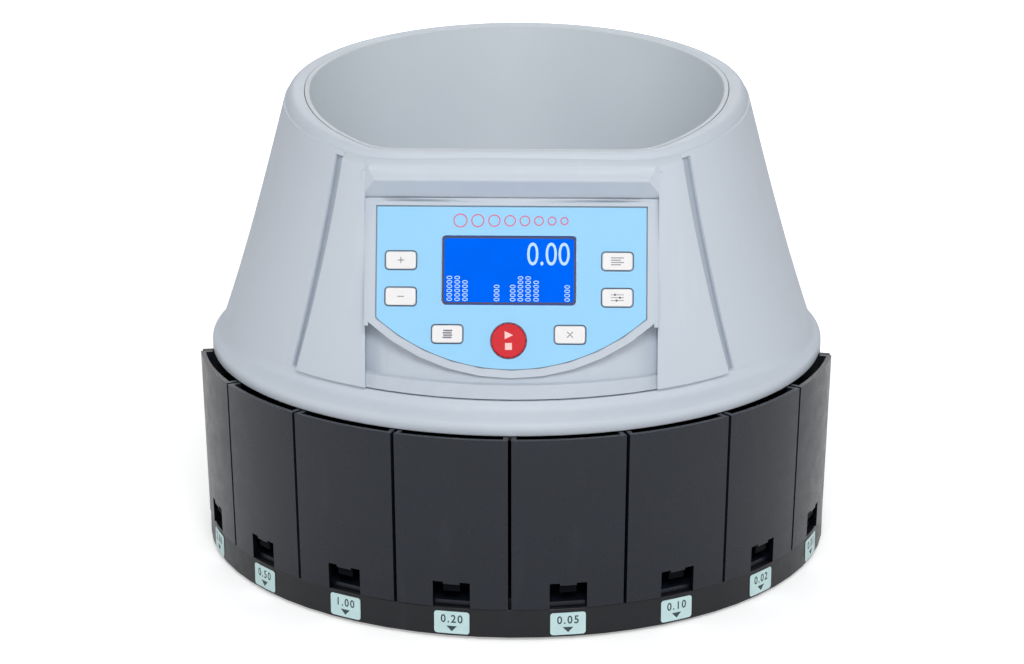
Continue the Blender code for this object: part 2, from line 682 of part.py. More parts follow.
def drawer():
    """A coin drawer for the front station: a wedge tray whose leaning front wall reaches up to the skirt."""
    def front(height):
        return DRAWER_FRONT_RADIUS + DRAWER_LEAN * (height - DRAWER_BOTTOM) / DRAWER_HEIGHT

    floor_top = DRAWER_BOTTOM + DRAWER_FLOOR
    above = DRAWER_TOP + OVERRUN
    side_top = DRAWER_BOTTOM + DRAWER_SIDE_HEIGHT
    inner_side = DRAWER_SIDE_CLEARANCE + DRAWER_WALL
    inner_back = DRAWER_BACK_RADIUS + DRAWER_WALL

    def walls(height, setback, back, side):
        return wedge_outline(front(height) - setback, back, side), height

    body = stacked("drawer", [
        walls(DRAWER_BOTTOM, 0.0, DRAWER_BACK_RADIUS, DRAWER_SIDE_CLEARANCE),
        walls(DRAWER_TOP, 0.0, DRAWER_BACK_RADIUS, DRAWER_SIDE_CLEARANCE),
    ])
    cut(body, stacked("hollow", [
        walls(floor_top, DRAWER_WALL, inner_back, inner_side),
        walls(above, DRAWER_WALL, inner_back, inner_side),
    ]))
    gusset = DRAWER_WALL + DRAWER_GUSSET
    beyond_back = DRAWER_BACK_RADIUS - OVERRUN
    cut(body, stacked("upper", [
        walls(side_top, gusset, beyond_back, 0.0),
        walls(above, gusset, beyond_back, 0.0),
    ]))
    half, tongue = WINDOW_WIDTH / 2, TONGUE_WIDTH / 2
    sill = DRAWER_BOTTOM - OVERRUN
    head = DRAWER_BOTTOM + WINDOW_HEIGHT
    tip = head - TONGUE_DROP
    window = [
        (-half, sill), (half, sill), (half, head), (tongue, head),
        (tongue, tip), (-tongue, tip), (-tongue, head), (-half, head),
    ]
    back = DRAWER_FRONT_RADIUS - DRAWER_WALL - OVERRUN
    ahead = DRAWER_FRONT_RADIUS + DRAWER_LEAN + OVERRUN
    opening = prism("window", window, back, ahead)
    opening.data.transform(FRONT_TURN)
    recess_top = head - TONGUE_SETBACK
    recess_low = (-tongue - OVERRUN / 2, -ahead, tip - OVERRUN)
    recess_high = (tongue + OVERRUN / 2, TONGUE_SETBACK - DRAWER_FRONT_RADIUS, recess_top)
    cut(body, opening)
    cut(body, box("recess", recess_low, recess_high))
    return body


def rear_cover():
    """The shell behind the drawers: round sides, a flat back and a cheek beside each end drawer."""
    edge = DRAWER_PITCH * DRAWER_COUNT / 2
    seam = direction(edge)
    behind = direction(edge + pi / 2)

    def half_outline(radius, flat, offset, start):
        points = [(seam * start + behind * offset).xy]
        first = edge + asin(offset / radius)
        last = acos(-flat / radius)
        steps = 10
        for step in range(steps + 1):
            points.append((direction(first + (last - first) * step / steps) * radius).xy)
        return points

    outer = half_outline(SKIRT_RADIUS, REAR_FLAT, REAR_CHEEK_CLEARANCE, REAR_CHEEK_INNER_RADIUS)
    inner_offset = REAR_CHEEK_CLEARANCE + REAR_CHEEK
    inner = half_outline(SKIRT_RADIUS - REAR_WALL, REAR_FLAT - REAR_WALL, inner_offset, REAR_CHEEK_INNER_RADIUS)
    mirrored_outer = [(-x, y) for x, y in reversed(outer)]
    mirrored_inner = [(-x, y) for x, y in inner]
    outline = [tuple(point) for point in outer] + mirrored_outer + mirrored_inner
    outline += [tuple(point) for point in reversed(inner)]
    cover = prism("rear_cover", outline, BASE_TOP + SEAT_GAP, REAR_TOP)
    through = (REAR_FLAT - REAR_WALL - OVERRUN, REAR_FLAT + OVERRUN)
    fittings = ((INLET_X, INLET_BODY), (SWITCH_X, SWITCH_BODY))
    for x, (width, height) in fittings:
        reach = (width / 2 + HOLE_CLEARANCE, height / 2 + HOLE_CLEARANCE)
        low = (x - reach[0], through[0], FITTING_HEIGHT - reach[1])
        high = (x + reach[0], through[1], FITTING_HEIGHT + reach[1])
        cut(cover, box("opening", low, high))
    for side in (-1, 1):
        hole = cylinder("hole", SCREW_SHANK_RADIUS + HOLE_CLEARANCE, through[0], through[1], 12)
        hole.data.transform(BACK_TURN)
        hole.data.transform(Matrix.Translation((INLET_X + side * INLET_SCREW_SPREAD, 0.0, FITTING_HEIGHT)))
        cut(cover, hole)
    return cover


def sorting_deck():
    """The inner deck plate. Its notches open at the rail, each as wide as its coin needs."""
    deck = turned("sorting_deck", [
        (SPINDLE_RADIUS + RUNNING_GAP, DECK_BOTTOM),
        (DECK_RADIUS, DECK_BOTTOM),
        (DECK_RADIUS, DECK_TOP),
        (SPINDLE_RADIUS + RUNNING_GAP, DECK_TOP),
    ], RING_SEGMENTS)
    for index, diameter in enumerate(COIN_DIAMETERS):
        inner = FENCE_RADIUS - diameter - SLOT_RELIEF
        width = diameter + SLOT_SIDE_ALLOWANCE
        station = drawer_station(index)
        low, high = DECK_BOTTOM - OVERRUN, DECK_TOP + OVERRUN
        cut(deck, spokes("slot", [station], inner, DECK_RADIUS + OVERRUN, width, low, high))
    return deck


def coin_rail():
    """The outer deck ring: the coins ride on its ledge against its fence."""
    fence_top = DECK_TOP + FENCE_HEIGHT
    rail = turned("coin_rail", [
        (RAIL_INNER_RADIUS, DECK_BOTTOM),
        (RAIL_OUTER_RADIUS, DECK_BOTTOM),
        (RAIL_OUTER_RADIUS, DECK_TOP),
        (FENCE_RADIUS + FENCE_WALL, DECK_TOP),
        (FENCE_RADIUS + FENCE_WALL, fence_top),
        (FENCE_RADIUS, fence_top),
        (FENCE_RADIUS, DECK_TOP),
        (RAIL_INNER_RADIUS, DECK_TOP),
    ], RING_SEGMENTS)
    behind = REAR_FLAT - HOUSING_WALL - SEAT_GAP
    low = (-RAIL_OUTER_RADIUS, behind, DECK_BOTTOM - OVERRUN)
    high = (RAIL_OUTER_RADIUS, RAIL_OUTER_RADIUS + OVERRUN, DECK_TOP + OVERRUN)
    return cut(rail, box("behind", low, high))


def drawer_station(index):
    return DRAWER_PITCH * (index - (DRAWER_COUNT - 1) / 2)


def sorting_rotor():
    """The star wheel that sweeps single coins along the fence, over the slots."""
    outline = []
    pitch = 2 * pi / ROTOR_FINGERS
    root = asin(FINGER_WIDTH / ROTOR_HUB_RADIUS)
    tip = asin(FINGER_WIDTH / 2 / ROTOR_REACH)
    for finger in range(ROTOR_FINGERS):
        middle = finger * pitch
        places = ((-root, ROTOR_HUB_RADIUS), (-tip, ROTOR_REACH), (tip, ROTOR_REACH), (root, ROTOR_HUB_RADIUS))
        for turn, radius in places:
            outline.append((direction(middle + turn) * radius).xy)
        outline.append((direction(middle + pitch / 2) * ROTOR_HUB_RADIUS).xy)
    rotor = prism("sorting_rotor", outline, ROTOR_BOTTOM, ROTOR_TOP)
    bore = SPINDLE_RADIUS + SEAT_GAP
    return cut(rotor, cylinder("bore", bore, ROTOR_BOTTOM - OVERRUN, ROTOR_TOP + OVERRUN))


def rotor_cap():
    """The domed cap that spreads the coins from the middle of the rotor."""
    bottom = ROTOR_TOP + SEAT_GAP
    profile = [(0.0, bottom), (CAP_RADIUS, bottom)]
    steps = 6
    for step in range(steps):
        turn = pi / 2 * step / steps
        profile.append((CAP_RADIUS * cos(turn), bottom + SEAT_GAP + (CAP_HEIGHT - SEAT_GAP) * sin(turn)))
    profile.append((0.0, bottom + CAP_HEIGHT))
    return turned("rotor_cap", profile, HUB_SEGMENTS)


def spindle():
    return cylinder("spindle", SPINDLE_RADIUS, PULLEY_BOTTOM - SEAT_GAP, ROTOR_TOP)


def bearing_housing():
    """The spindle's bush under the deck, with its flange against the deck."""
    bore = SPINDLE_RADIUS + RUNNING_GAP
    top = DECK_BOTTOM - SEAT_GAP
    return turned("bearing_housing", [
        (bore, BEARING_BOTTOM),
        (BEARING_RADIUS, BEARING_BOTTOM),
        (BEARING_RADIUS, top - BEARING_FLANGE_THICKNESS),
        (BEARING_FLANGE_RADIUS, top - BEARING_FLANGE_THICKNESS),
        (BEARING_FLANGE_RADIUS, top),
        (bore, top),
    ], HUB_SEGMENTS)


def pulley(name, radius, bore):
    """A flat-belt pulley with a cheek above and below the belt."""
    rim = radius + PULLEY_FLANGE
    return turned(name, [
        (bore, PULLEY_BOTTOM),
        (rim, PULLEY_BOTTOM),
        (rim, PULLEY_BOTTOM + PULLEY_CHEEK),
        (radius, PULLEY_BOTTOM + PULLEY_CHEEK),
        (radius, PULLEY_TOP - PULLEY_CHEEK),
        (rim, PULLEY_TOP - PULLEY_CHEEK),
        (rim, PULLEY_TOP),
        (bore, PULLEY_TOP),
    ], HUB_SEGMENTS)


def belt_outline(stand):
    """The belt's path, a stand away from both pulleys' running faces."""
    large = ROTOR_PULLEY_RADIUS + stand
    small = MOTOR_PULLEY_RADIUS + stand
    contact = pi / 2 + asin((large - small) / MOTOR_OFFSET)
    points = []
    for centre, radius, start, end in ((0.0, large, -contact, contact), (MOTOR_OFFSET, small, contact, 2 * pi - contact)):
        steps = 20 if centre == 0.0 else 10
        for step in range(steps + 1):
            turn = start + (end - start) * step / steps
            points.append((radius * sin(turn), centre - radius * cos(turn)))
    return points


def drive_belt():
    bottom = PULLEY_BOTTOM + PULLEY_CHEEK + BELT_SIDE_CLEARANCE
    top = PULLEY_TOP - PULLEY_CHEEK - BELT_SIDE_CLEARANCE
    inner = belt_outline(SEAT_GAP)
    outer = belt_outline(SEAT_GAP + BELT_THICKNESS)
    sections = []
    for (x, y), (far_x, far_y) in zip(inner, outer):
        sections.append([(x, y, bottom), (far_x, far_y, bottom), (far_x, far_y, top), (x, y, top)])
    return ring_loft("drive_belt", sections)


def motor_bracket():
    """A bridge over the motor, which hangs from it, with two legs down to the base."""
    front, back = MOTOR_OFFSET - BRACKET_HALF_DEPTH, MOTOR_OFFSET + BRACKET_HALF_DEPTH
    bracket = box("motor_bracket", (-BRACKET_HALF_WIDTH, front, BRACKET_BOTTOM), (BRACKET_HALF_WIDTH, back, BRACKET_TOP))
    foot_bottom = BASE_TOP + SEAT_GAP
    leg_top = BRACKET_TOP - BRACKET_THICKNESS / 2
    leg_front, leg_back = MOTOR_OFFSET - BRACKET_HALF_DEPTH / 2, MOTOR_OFFSET + BRACKET_HALF_DEPTH / 2
    inner = BRACKET_HALF_WIDTH - BRACKET_THICKNESS
    for side in (-1, 1):
        edges = sorted((side * inner, side * BRACKET_HALF_WIDTH))
        add(bracket, box("leg", (edges[0], leg_front, foot_bottom), (edges[1], leg_back, leg_top)))
    centre = (0.0, MOTOR_OFFSET)
    hole_radius = MOTOR_BOSS_RADIUS + SEAT_GAP
    return cut(bracket, cylinder("hole", hole_radius, BRACKET_BOTTOM - OVERRUN, BRACKET_TOP + OVERRUN, HUB_SEGMENTS, centre))


def drive_motor():
    """The motor can with its locating boss."""
    top = BRACKET_BOTTOM - SEAT_GAP
    bottom = top - MOTOR_LENGTH
    ease = MOTOR_BOSS_HEIGHT / 2
    bore = MOTOR_SHAFT_RADIUS + RUNNING_GAP
    motor = turned("drive_motor", [
        (0.0, bottom),
        (MOTOR_RADIUS - ease, bottom),
        (MOTOR_RADIUS, bottom + ease),
        (MOTOR_RADIUS, top),
        (MOTOR_BOSS_RADIUS, top),
        (MOTOR_BOSS_RADIUS, top + MOTOR_BOSS_HEIGHT),
        (bore, top + MOTOR_BOSS_HEIGHT),
        (bore, top - MOTOR_BOSS_HEIGHT),
        (0.0, top - MOTOR_BOSS_HEIGHT),
    ], HUB_SEGMENTS)
    motor.location.y = MOTOR_OFFSET
    return motor


def motor_shaft():
    bottom = BRACKET_BOTTOM - SEAT_GAP - MOTOR_BOSS_HEIGHT + SEAT_GAP
    shaft = cylinder("motor_shaft", MOTOR_SHAFT_RADIUS, bottom, PULLEY_TOP, 16)
    shaft.location.y = MOTOR_OFFSET
    return shaft


def chamber_cover():
    """The flat ring that closes the sorting chamber round the throat and carries the bowl's foot."""
    outer = FENCE_RADIUS + FENCE_WALL + COVER_OVERHANG
    return turned("chamber_cover", [
        (THROAT_RADIUS, COVER_BOTTOM),
        (outer, COVER_BOTTOM),
        (outer, COVER_BOTTOM + COVER_THICKNESS),
        (THROAT_RADIUS, COVER_BOTTOM + COVER_THICKNESS),
    ], RING_SEGMENTS)


def hopper_bowl():
    """The funnel that takes the coins: flat-fronted at the rim and round at the throat."""
    bottom = COVER_BOTTOM + COVER_THICKNESS + SEAT_GAP
    sections = []
    for index in range(BOWL_STATIONS):
        station = 2 * pi * index / BOWL_STATIONS
        mouth = bowl_inner(station)
        lip = lip_radius(station) - SEAT_GAP
        rim = rim_height(station, mouth)
        lip_bottom = rim - BOWL_WALL
        section = [
            (lip, rim_height(station, lip)),
            (mouth + BOWL_LIP_EASE, rim),
            (mouth, rim - BOWL_LIP_EASE),
            (THROAT_RADIUS, bottom),
            (THROAT_RADIUS + BOWL_WALL, bottom),
            (mouth + BOWL_WALL - SEAT_GAP, lip_bottom - BOWL_WALL),
            (lip, lip_bottom),
        ]
        sections.append([around(station, radius, height) for radius, height in section])
    return ring_loft("hopper_bowl", sections)


def housing_stations():
    """Stations round the housing, closer at the rim's corners and paired at the apron's steps."""
    degrees = [float(step) for step in range(-180, 180, HOUSING_STATION_STEP)]
    corners = [radians(corner) for corner in CORNER_STATIONS] + [acos(-REAR_FLAT / SKIRT_RADIUS)]
    extra = [corner * side for corner in corners for side in (-1, 1)]
    steps = [side * APRON_STATION + half * APRON_STEP / 2 for side in (-1, 1) for half in (-1, 1)]
    plain = [radians(value) for value in degrees if abs(abs(radians(value)) - APRON_STATION) > APRON_CLEARANCE]
    return sorted(plain + extra + steps)


def held_back(station, radius, flat):
    """A radius, cut short where it would pass the machine's flat back."""
    behind = -cos(station)
    return min(radius, flat / behind) if behind > 0 else radius


def upper_housing():
    """The grey housing: skirt, shoulder, ruled walls with a raised apron in front, and the rim."""
    sections = []
    flat_inside = REAR_FLAT - SKIRT_WALL
    skirt_step = CONE_FOOT_HEIGHT - HOUSING_BOTTOM - SKIRT_STRAIGHT
    flat_end = flat_back_top()
    for station in housing_stations():
        top_radius, top = wall_top(station)
        fillet = rim_fillet(station)
        raised = APRON_RAISE if abs(station) < APRON_STATION else 0.0
        start = CONE_FOOT_HEIGHT + APRON_RAISE
        fade = top - APRON_FADE
        fade_radius = wall_radius(station, fade) + raised
        if raised:
            fade_radius = min(fade_radius, BROW_CHORD / cos(station))
        rim_edge = top_radius - fillet
        lip = lip_radius(station)
        section = [(SKIRT_RADIUS, HOUSING_BOTTOM)]
        for share, rise in SKIRT_ROUND_SHARES:
            radius = CONE_FOOT_RADIUS + (SKIRT_RADIUS - CONE_FOOT_RADIUS) * share
            section.append((radius, HOUSING_BOTTOM + SKIRT_STRAIGHT + skirt_step * rise))
        section += [
            (CONE_FOOT_RADIUS, CONE_FOOT_HEIGHT),
            (wall_radius(station, start) + raised, start),
            (wall_radius(station, flat_end) + raised, flat_end),
            (fade_radius, fade),
            (top_radius, top),
            (top_radius - fillet * (1 - sin(pi / 4)), top + fillet * cos(pi / 4)),
            (rim_edge, rim_height(station, rim_edge)),
            (lip, rim_height(station, lip)),
            (lip, rim_height(station, lip) - LIP_DEPTH),
        ]
        section = [(held_back(station, radius, REAR_FLAT), height) for radius, height in section]
        section += [
            (max(top_radius - HOUSING_WALL, lip + SEAT_GAP), top - LIP_DEPTH),
            (held_back(station, wall_radius(station, flat_end) - HOUSING_WALL, flat_inside), flat_end),
            (held_back(station, SHOULDER_INNER_RADIUS, flat_inside - LIP_DEPTH), CONE_FOOT_HEIGHT - LIP_DEPTH),
            (held_back(station, SHOULDER_INNER_RADIUS, flat_inside - LIP_DEPTH), SKIRT_SHOULDER),
            (held_back(station, SKIRT_RADIUS - SKIRT_WALL, flat_inside), SKIRT_SHOULDER),
            (held_back(station, SKIRT_RADIUS - SKIRT_WALL, flat_inside), HOUSING_BOTTOM),
        ]
        sections.append([around(station, radius, height) for radius, height in section])
    housing = ring_loft("upper_housing", sections)
    add(housing, lintel())
    return cut(housing, panel_opening())


def lintel():
    """The bar behind the brow, which closes the housing above the panel."""
    half = PANEL_HALF_WIDTH + SEAT_GAP + HOUSING_WALL / 2
    head_y, head_z = panel_point(OVERLAY_TOP + BEZEL_BAND, 0.0)
    front = OVERRUN - BROW_CHORD
    low = (-half, front, head_z - OVERRUN)
    high = (half, max(head_y + OVERRUN, front + LINTEL_DEPTH), BROW_HEIGHT + APRON_RAISE)
    return box("lintel", low, high)


def panel_point(v, n):
    """Distance behind the front of the axis, as a y, and height of a point in the panel's plane."""
    y = -PANEL_FOOT + v * sin(PANEL_LEAN) - n * cos(PANEL_LEAN)
    return y, CONE_FOOT_HEIGHT + v * cos(PANEL_LEAN) + n * sin(PANEL_LEAN)


def panel_opening():
    """The hole in the housing that the panel fills, with the brow's slope as its head."""
    half = PANEL_HALF_WIDTH + SEAT_GAP
    head_y, head_z = panel_point(OVERLAY_TOP + BEZEL_BAND + SEAT_GAP, 0.0)
    brow_y = -BROW_CHORD
    far, deep = -SKIRT_RADIUS - OVERRUN, -DRUM_RADIUS
    slope = (BROW_HEIGHT - head_z) / (brow_y - head_y)
    profile = [
        (far, CONE_FOOT_HEIGHT - SEAT_GAP),
        (deep, CONE_FOOT_HEIGHT - SEAT_GAP),
        (deep, head_z),
        (head_y, head_z),
        (far, head_z + slope * (far - head_y)),
    ]
    return bar_loft("opening", [[(x, y, z) for y, z in profile] for x in (-half, half)])


def panel_frame():
    """The empty that carries the panel's pieces: X is u, Y is v and Z is n."""
    frame = bpy.data.objects.new("panel_frame", None)
    bpy.context.scene.collection.objects.link(frame)
    frame.location = (0.0, -PANEL_FOOT, CONE_FOOT_HEIGHT)
    frame.rotation_euler.x = pi / 2 - PANEL_LEAN
    return frame


def panel_arc():
    """Height of the centre and radius of the overlay's bottom arc."""
    sag = OVERLAY_SIDE_BOTTOM - OVERLAY_BOTTOM
    radius = (OVERLAY_HALF_WIDTH**2 + sag**2) / (2 * sag)
    return OVERLAY_BOTTOM + radius, radius


def panel_outline(margin):
    """The overlay's outline, grown by a margin: straight top and sides over a shallow arc."""
    half = OVERLAY_HALF_WIDTH + margin
    centre, radius = panel_arc()
    radius += margin
    reach = asin(half / radius)
    outline = [(half, OVERLAY_TOP + margin), (-half, OVERLAY_TOP + margin)]
    for step in range(PANEL_ARC_STEPS + 1):
        turn = reach * (2 * step / PANEL_ARC_STEPS - 1)
        outline.append((radius * sin(turn), centre - radius * cos(turn)))
    return outline


def in_panel(made, frame):
    """Moves a shape drawn in the panel's plane into the machine's frame."""
    bpy.context.view_layer.update()
    made.data.transform(frame.matrix_world)
    return made


def key_places():
    """Each key's name and centre in the panel's plane."""
    left, right = KEY_SHIFT - SIDE_KEY_COLUMN, KEY_SHIFT + SIDE_KEY_COLUMN
    return (
        ("key_plus", left, UPPER_KEY_ROW),
        ("key_minus", left, MIDDLE_KEY_ROW),
        ("key_batch", KEY_SHIFT - LOWER_KEY_COLUMN, LOWER_KEY_ROW),
        ("key_clear", KEY_SHIFT + LOWER_KEY_COLUMN, LOWER_KEY_ROW),
        ("key_report", right, UPPER_KEY_ROW),
        ("key_set", right, MIDDLE_KEY_ROW),
        ("key_start", KEY_SHIFT, START_KEY_ROW),
    )


def board_bosses():
    """The centres of the bosses that hold the key board."""
    side, lower = (BOSS_SIDE_COLUMN, BOSS_SIDE_ROW), (BOSS_LOWER_COLUMN, BOSS_LOWER_ROW)
    return [(sign * u, v) for u, v in (side, lower) for sign in (1, -1)]


def key_outline(name, margin):
    if name == "key_start":
        return circle(START_KEY_RADIUS + margin, HUB_SEGMENTS)
    return rounded(KEY_WIDTH + 2 * margin, KEY_HEIGHT + 2 * margin, KEY_CORNER + margin)


def moved(outline, u, v):
    return [(x + u, y + v) for x, y in outline]


def cut_key_holes(target, bottom, top):
    """Cuts the screen's and the keys' openings through a plate of the panel."""
    screen = rounded(SCREEN_WIDTH + 2 * SEAT_GAP, SCREEN_HEIGHT + 2 * SEAT_GAP, SCREEN_CORNER)
    cut(target, prism("opening", moved(screen, KEY_SHIFT, SCREEN_CENTRE), bottom, top))
    for name, u, v in key_places():
        cut(target, prism("opening", moved(key_outline(name, KEY_SIDE_GAP), u, v), bottom, top))


def panel_bezel(frame):
    """The grey panel: a wall that follows the housing, a ledge below and a flat tub for the keys."""
    half = PANEL_HALF_WIDTH
    head_z = panel_point(OVERLAY_TOP + BEZEL_BAND, 0.0)[1] - SEAT_GAP
    ledge_top = CONE_FOOT_HEIGHT + LEDGE_HEIGHT
    columns = 12
    sections = []
    for column in range(columns + 1):
        x = half * (2 * column / columns - 1)
        face = [(0.0, CONE_FOOT_HEIGHT), (0.0, ledge_top), (PANEL_SETBACK, ledge_top + SEAT_GAP), (PANEL_SETBACK, head_z)]
        inside = PANEL_SETBACK + PANEL_WALL
        back = [(inside, head_z), (inside, CONE_FOOT_HEIGHT)]
        section = [(x, -wall_depth(x, z, inset), z) for inset, z in face + back]
        sections.append(section)
    wall = bar_loft("panel_bezel", sections)
    inner_margin = BEZEL_BAND - TUB_WALL / 2
    clear = prism("clear", panel_outline(inner_margin), -2 * TUB_DEPTH, 2 * TUB_DEPTH)
    cut(wall, in_panel(clear, frame))
    tub = prism("tub", panel_outline(BEZEL_BAND), -TUB_DEPTH, 0.0)
    hollow_margin = BEZEL_BAND - TUB_WALL
    cut(tub, prism("hollow", panel_outline(hollow_margin), -TUB_DEPTH - OVERRUN, -PLATE_THICKNESS))
    cut(tub, prism("pocket", panel_outline(0.0), -POCKET_DEPTH, OVERRUN))
    cut_key_holes(tub, -PLATE_THICKNESS - OVERRUN, OVERRUN)
    for u, v in board_bosses():
        boss_top = -PLATE_THICKNESS + SEAT_GAP
        add(tub, cylinder("boss", BOARD_BOSS_RADIUS, -BOARD_DEPTH + SEAT_GAP, boss_top, 12, (u, v)))
        hole_radius = SCREW_SHANK_RADIUS + HOLE_CLEARANCE
        hole_top = BOARD_SCREW_LENGTH - BOARD_DEPTH - BOARD_THICKNESS
        cut(tub, cylinder("hole", hole_radius, -BOARD_DEPTH - OVERRUN, hole_top, 8, (u, v)))
    return add(wall, in_panel(tub, frame))


def panel_overlay():
    """The printed film in the bezel's pocket."""
    bottom = -POCKET_DEPTH + SEAT_GAP
    top = bottom + OVERLAY_THICKNESS
    overlay = prism("panel_overlay", panel_outline(-SEAT_GAP), bottom, top)
    cut_key_holes(overlay, bottom - OVERRUN, top + OVERRUN)
    return overlay


def lcd_window():
    """The clear lens over the display."""
    outline = moved(rounded(SCREEN_WIDTH, SCREEN_HEIGHT, SCREEN_CORNER), KEY_SHIFT, SCREEN_CENTRE)
    return prism("lcd_window", outline, -PLATE_THICKNESS - SEAT_GAP, -SCREEN_SINK)


def lcd_module():
    """The display behind the plate, between it and the key board."""
    width, height = SCREEN_WIDTH + 2 * MODULE_MARGIN, SCREEN_HEIGHT + 2 * MODULE_MARGIN
    outline = rectangle(width, height, (KEY_SHIFT, SCREEN_CENTRE))
    return prism("lcd_module", outline, -BOARD_DEPTH + SEAT_GAP, -PLATE_THICKNESS - 2 * SEAT_GAP)


def keypad_board():
    """The board behind the panel, with one tall switch under each key."""
    outline = panel_outline(BEZEL_BAND - TUB_WALL - BOARD_EDGE_GAP)
    board = prism("keypad_board", outline, -BOARD_DEPTH - BOARD_THICKNESS, -BOARD_DEPTH)
    switch_top = -PLATE_THICKNESS - SEAT_GAP - KEY_FLANGE_THICKNESS - KEY_TRAVEL - SEAT_GAP
    for _, u, v in key_places():
        size = rectangle(SWITCH_SIZE, SWITCH_SIZE, (u, v))
        add(board, prism("switch", size, -BOARD_DEPTH - BOARD_THICKNESS / 2, switch_top))
    for u, v in board_bosses():
        hole_radius = SCREW_SHANK_RADIUS + HOLE_CLEARANCE
        low = -BOARD_DEPTH - BOARD_THICKNESS - OVERRUN
        cut(board, cylinder("hole", hole_radius, low, -BOARD_DEPTH + OVERRUN, 12, (u, v)))
    return board


def panel_key(name):
    """A key cap with the flange that keeps it behind the plate."""
    flange_top = -PLATE_THICKNESS - SEAT_GAP
    flange = key_outline(name, KEY_FLANGE)
    cap = key_outline(name, 0.0)
    crown = key_outline(name, -KEY_EASE)
    return stacked(name, [
        (flange, flange_top - KEY_FLANGE_THICKNESS),
        (flange, flange_top),
        (cap, flange_top),
        (cap, KEY_STAND - KEY_EASE),
        (crown, KEY_STAND),
    ])


def board(name, size, component_shares):
    """A circuit board on its standoffs, with its larger components, as shares of its size."""
    bottom = BASE_TOP + STANDOFF_HEIGHT + SEAT_GAP
    top = bottom + BOARD_THICKNESS
    made = prism(name, rectangle(*size), bottom, top)
    for x_share, y_share, width_share, depth_share, height_share in component_shares:
        centre = (x_share * size[0], y_share * size[1])
        outline = rectangle(width_share * size[0], depth_share * size[1], centre)
        add(made, prism("component", outline, top - COMPONENT_SINK, top + height_share * size[1]))
    return made


def power_inlet():
    """The mains inlet: flange, body, socket and three pins, its mouth towards +Z."""
    flange = rounded(*INLET_FLANGE, INLET_CORNER)
    body_bottom = -INLET_BODY_DEPTH
    flange_bottom = SEAT_GAP
    top = SEAT_GAP + INLET_FLANGE_THICKNESS
    inlet = prism("power_inlet", flange, flange_bottom, top)
    add(inlet, prism("body", rectangle(*INLET_BODY), body_bottom, top - INLET_FLANGE_THICKNESS / 2))
    socket_bottom = top - INLET_SOCKET_DEPTH
    cut(inlet, prism("socket", rounded(*INLET_SOCKET, INLET_CORNER), socket_bottom, top + OVERRUN))
    pins = ((-INLET_PIN_SPREAD, -INLET_PIN_RISE), (0.0, INLET_PIN_RISE), (INLET_PIN_SPREAD, -INLET_PIN_RISE))
    for centre in pins:
        pin = rectangle(*INLET_PIN, centre)
        add(inlet, prism("pin", pin, socket_bottom - INLET_PIN[0] / 2, socket_bottom + INLET_PIN_LENGTH))
    for side in (-1, 1):
        centre = (side * INLET_SCREW_SPREAD, 0.0)
        hole_radius = SCREW_SHANK_RADIUS + HOLE_CLEARANCE
        cut(inlet, cylinder("hole", hole_radius, -OVERRUN, top + OVERRUN, 12, centre))
    return inlet


def switch_frame():
    """The rocker switch's frame, its opening towards +Z."""
    top = SEAT_GAP + SWITCH_FLANGE_THICKNESS
    made = prism("power_switch_frame", rounded(*SWITCH_FLANGE, INLET_CORNER / 2), SEAT_GAP, top)
    add(made, prism("body", rectangle(*SWITCH_BODY), -SWITCH_BODY_DEPTH, top - SWITCH_FLANGE_THICKNESS / 2))
    return cut(made, prism("opening", rectangle(*SWITCH_OPENING), top - SWITCH_OPENING_DEPTH, top + OVERRUN))


def power_rocker():
    """The rocker about its own X axis, resting with its lower end pressed in."""
    profile = [
        (ROCKER_HALF_LENGTH, ROCKER_END_HEIGHT),
        (0.0, ROCKER_CENTRE_HEIGHT),
        (-ROCKER_HALF_LENGTH, ROCKER_END_HEIGHT),
    ]
    steps = 8
    first = asin(ROCKER_BACK / ROCKER_RADIUS)
    reach = asin(ROCKER_END_HEIGHT / ROCKER_RADIUS)
    for step in range(steps + 1):
        turn = pi + (first + reach) * step / steps - reach
        profile.append((ROCKER_RADIUS * cos(turn), ROCKER_RADIUS * sin(turn)))
    for step in range(steps + 1):
        turn = 2 * pi - first + (first + reach) * step / steps
        profile.append((ROCKER_RADIUS * cos(turn), ROCKER_RADIUS * sin(turn)))
    half = SWITCH_OPENING[0] / 2 - SEAT_GAP
    sections = [[(x, y, z) for y, z in profile] for x in (-half, half)]
    return bar_loft("power_rocker", sections)


def coin_sensor():
    width, depth, height = SENSOR_SIZE
    bottom = DECK_TOP + SEAT_GAP
    return prism("coin_sensor", rectangle(width, depth), bottom, bottom + height)


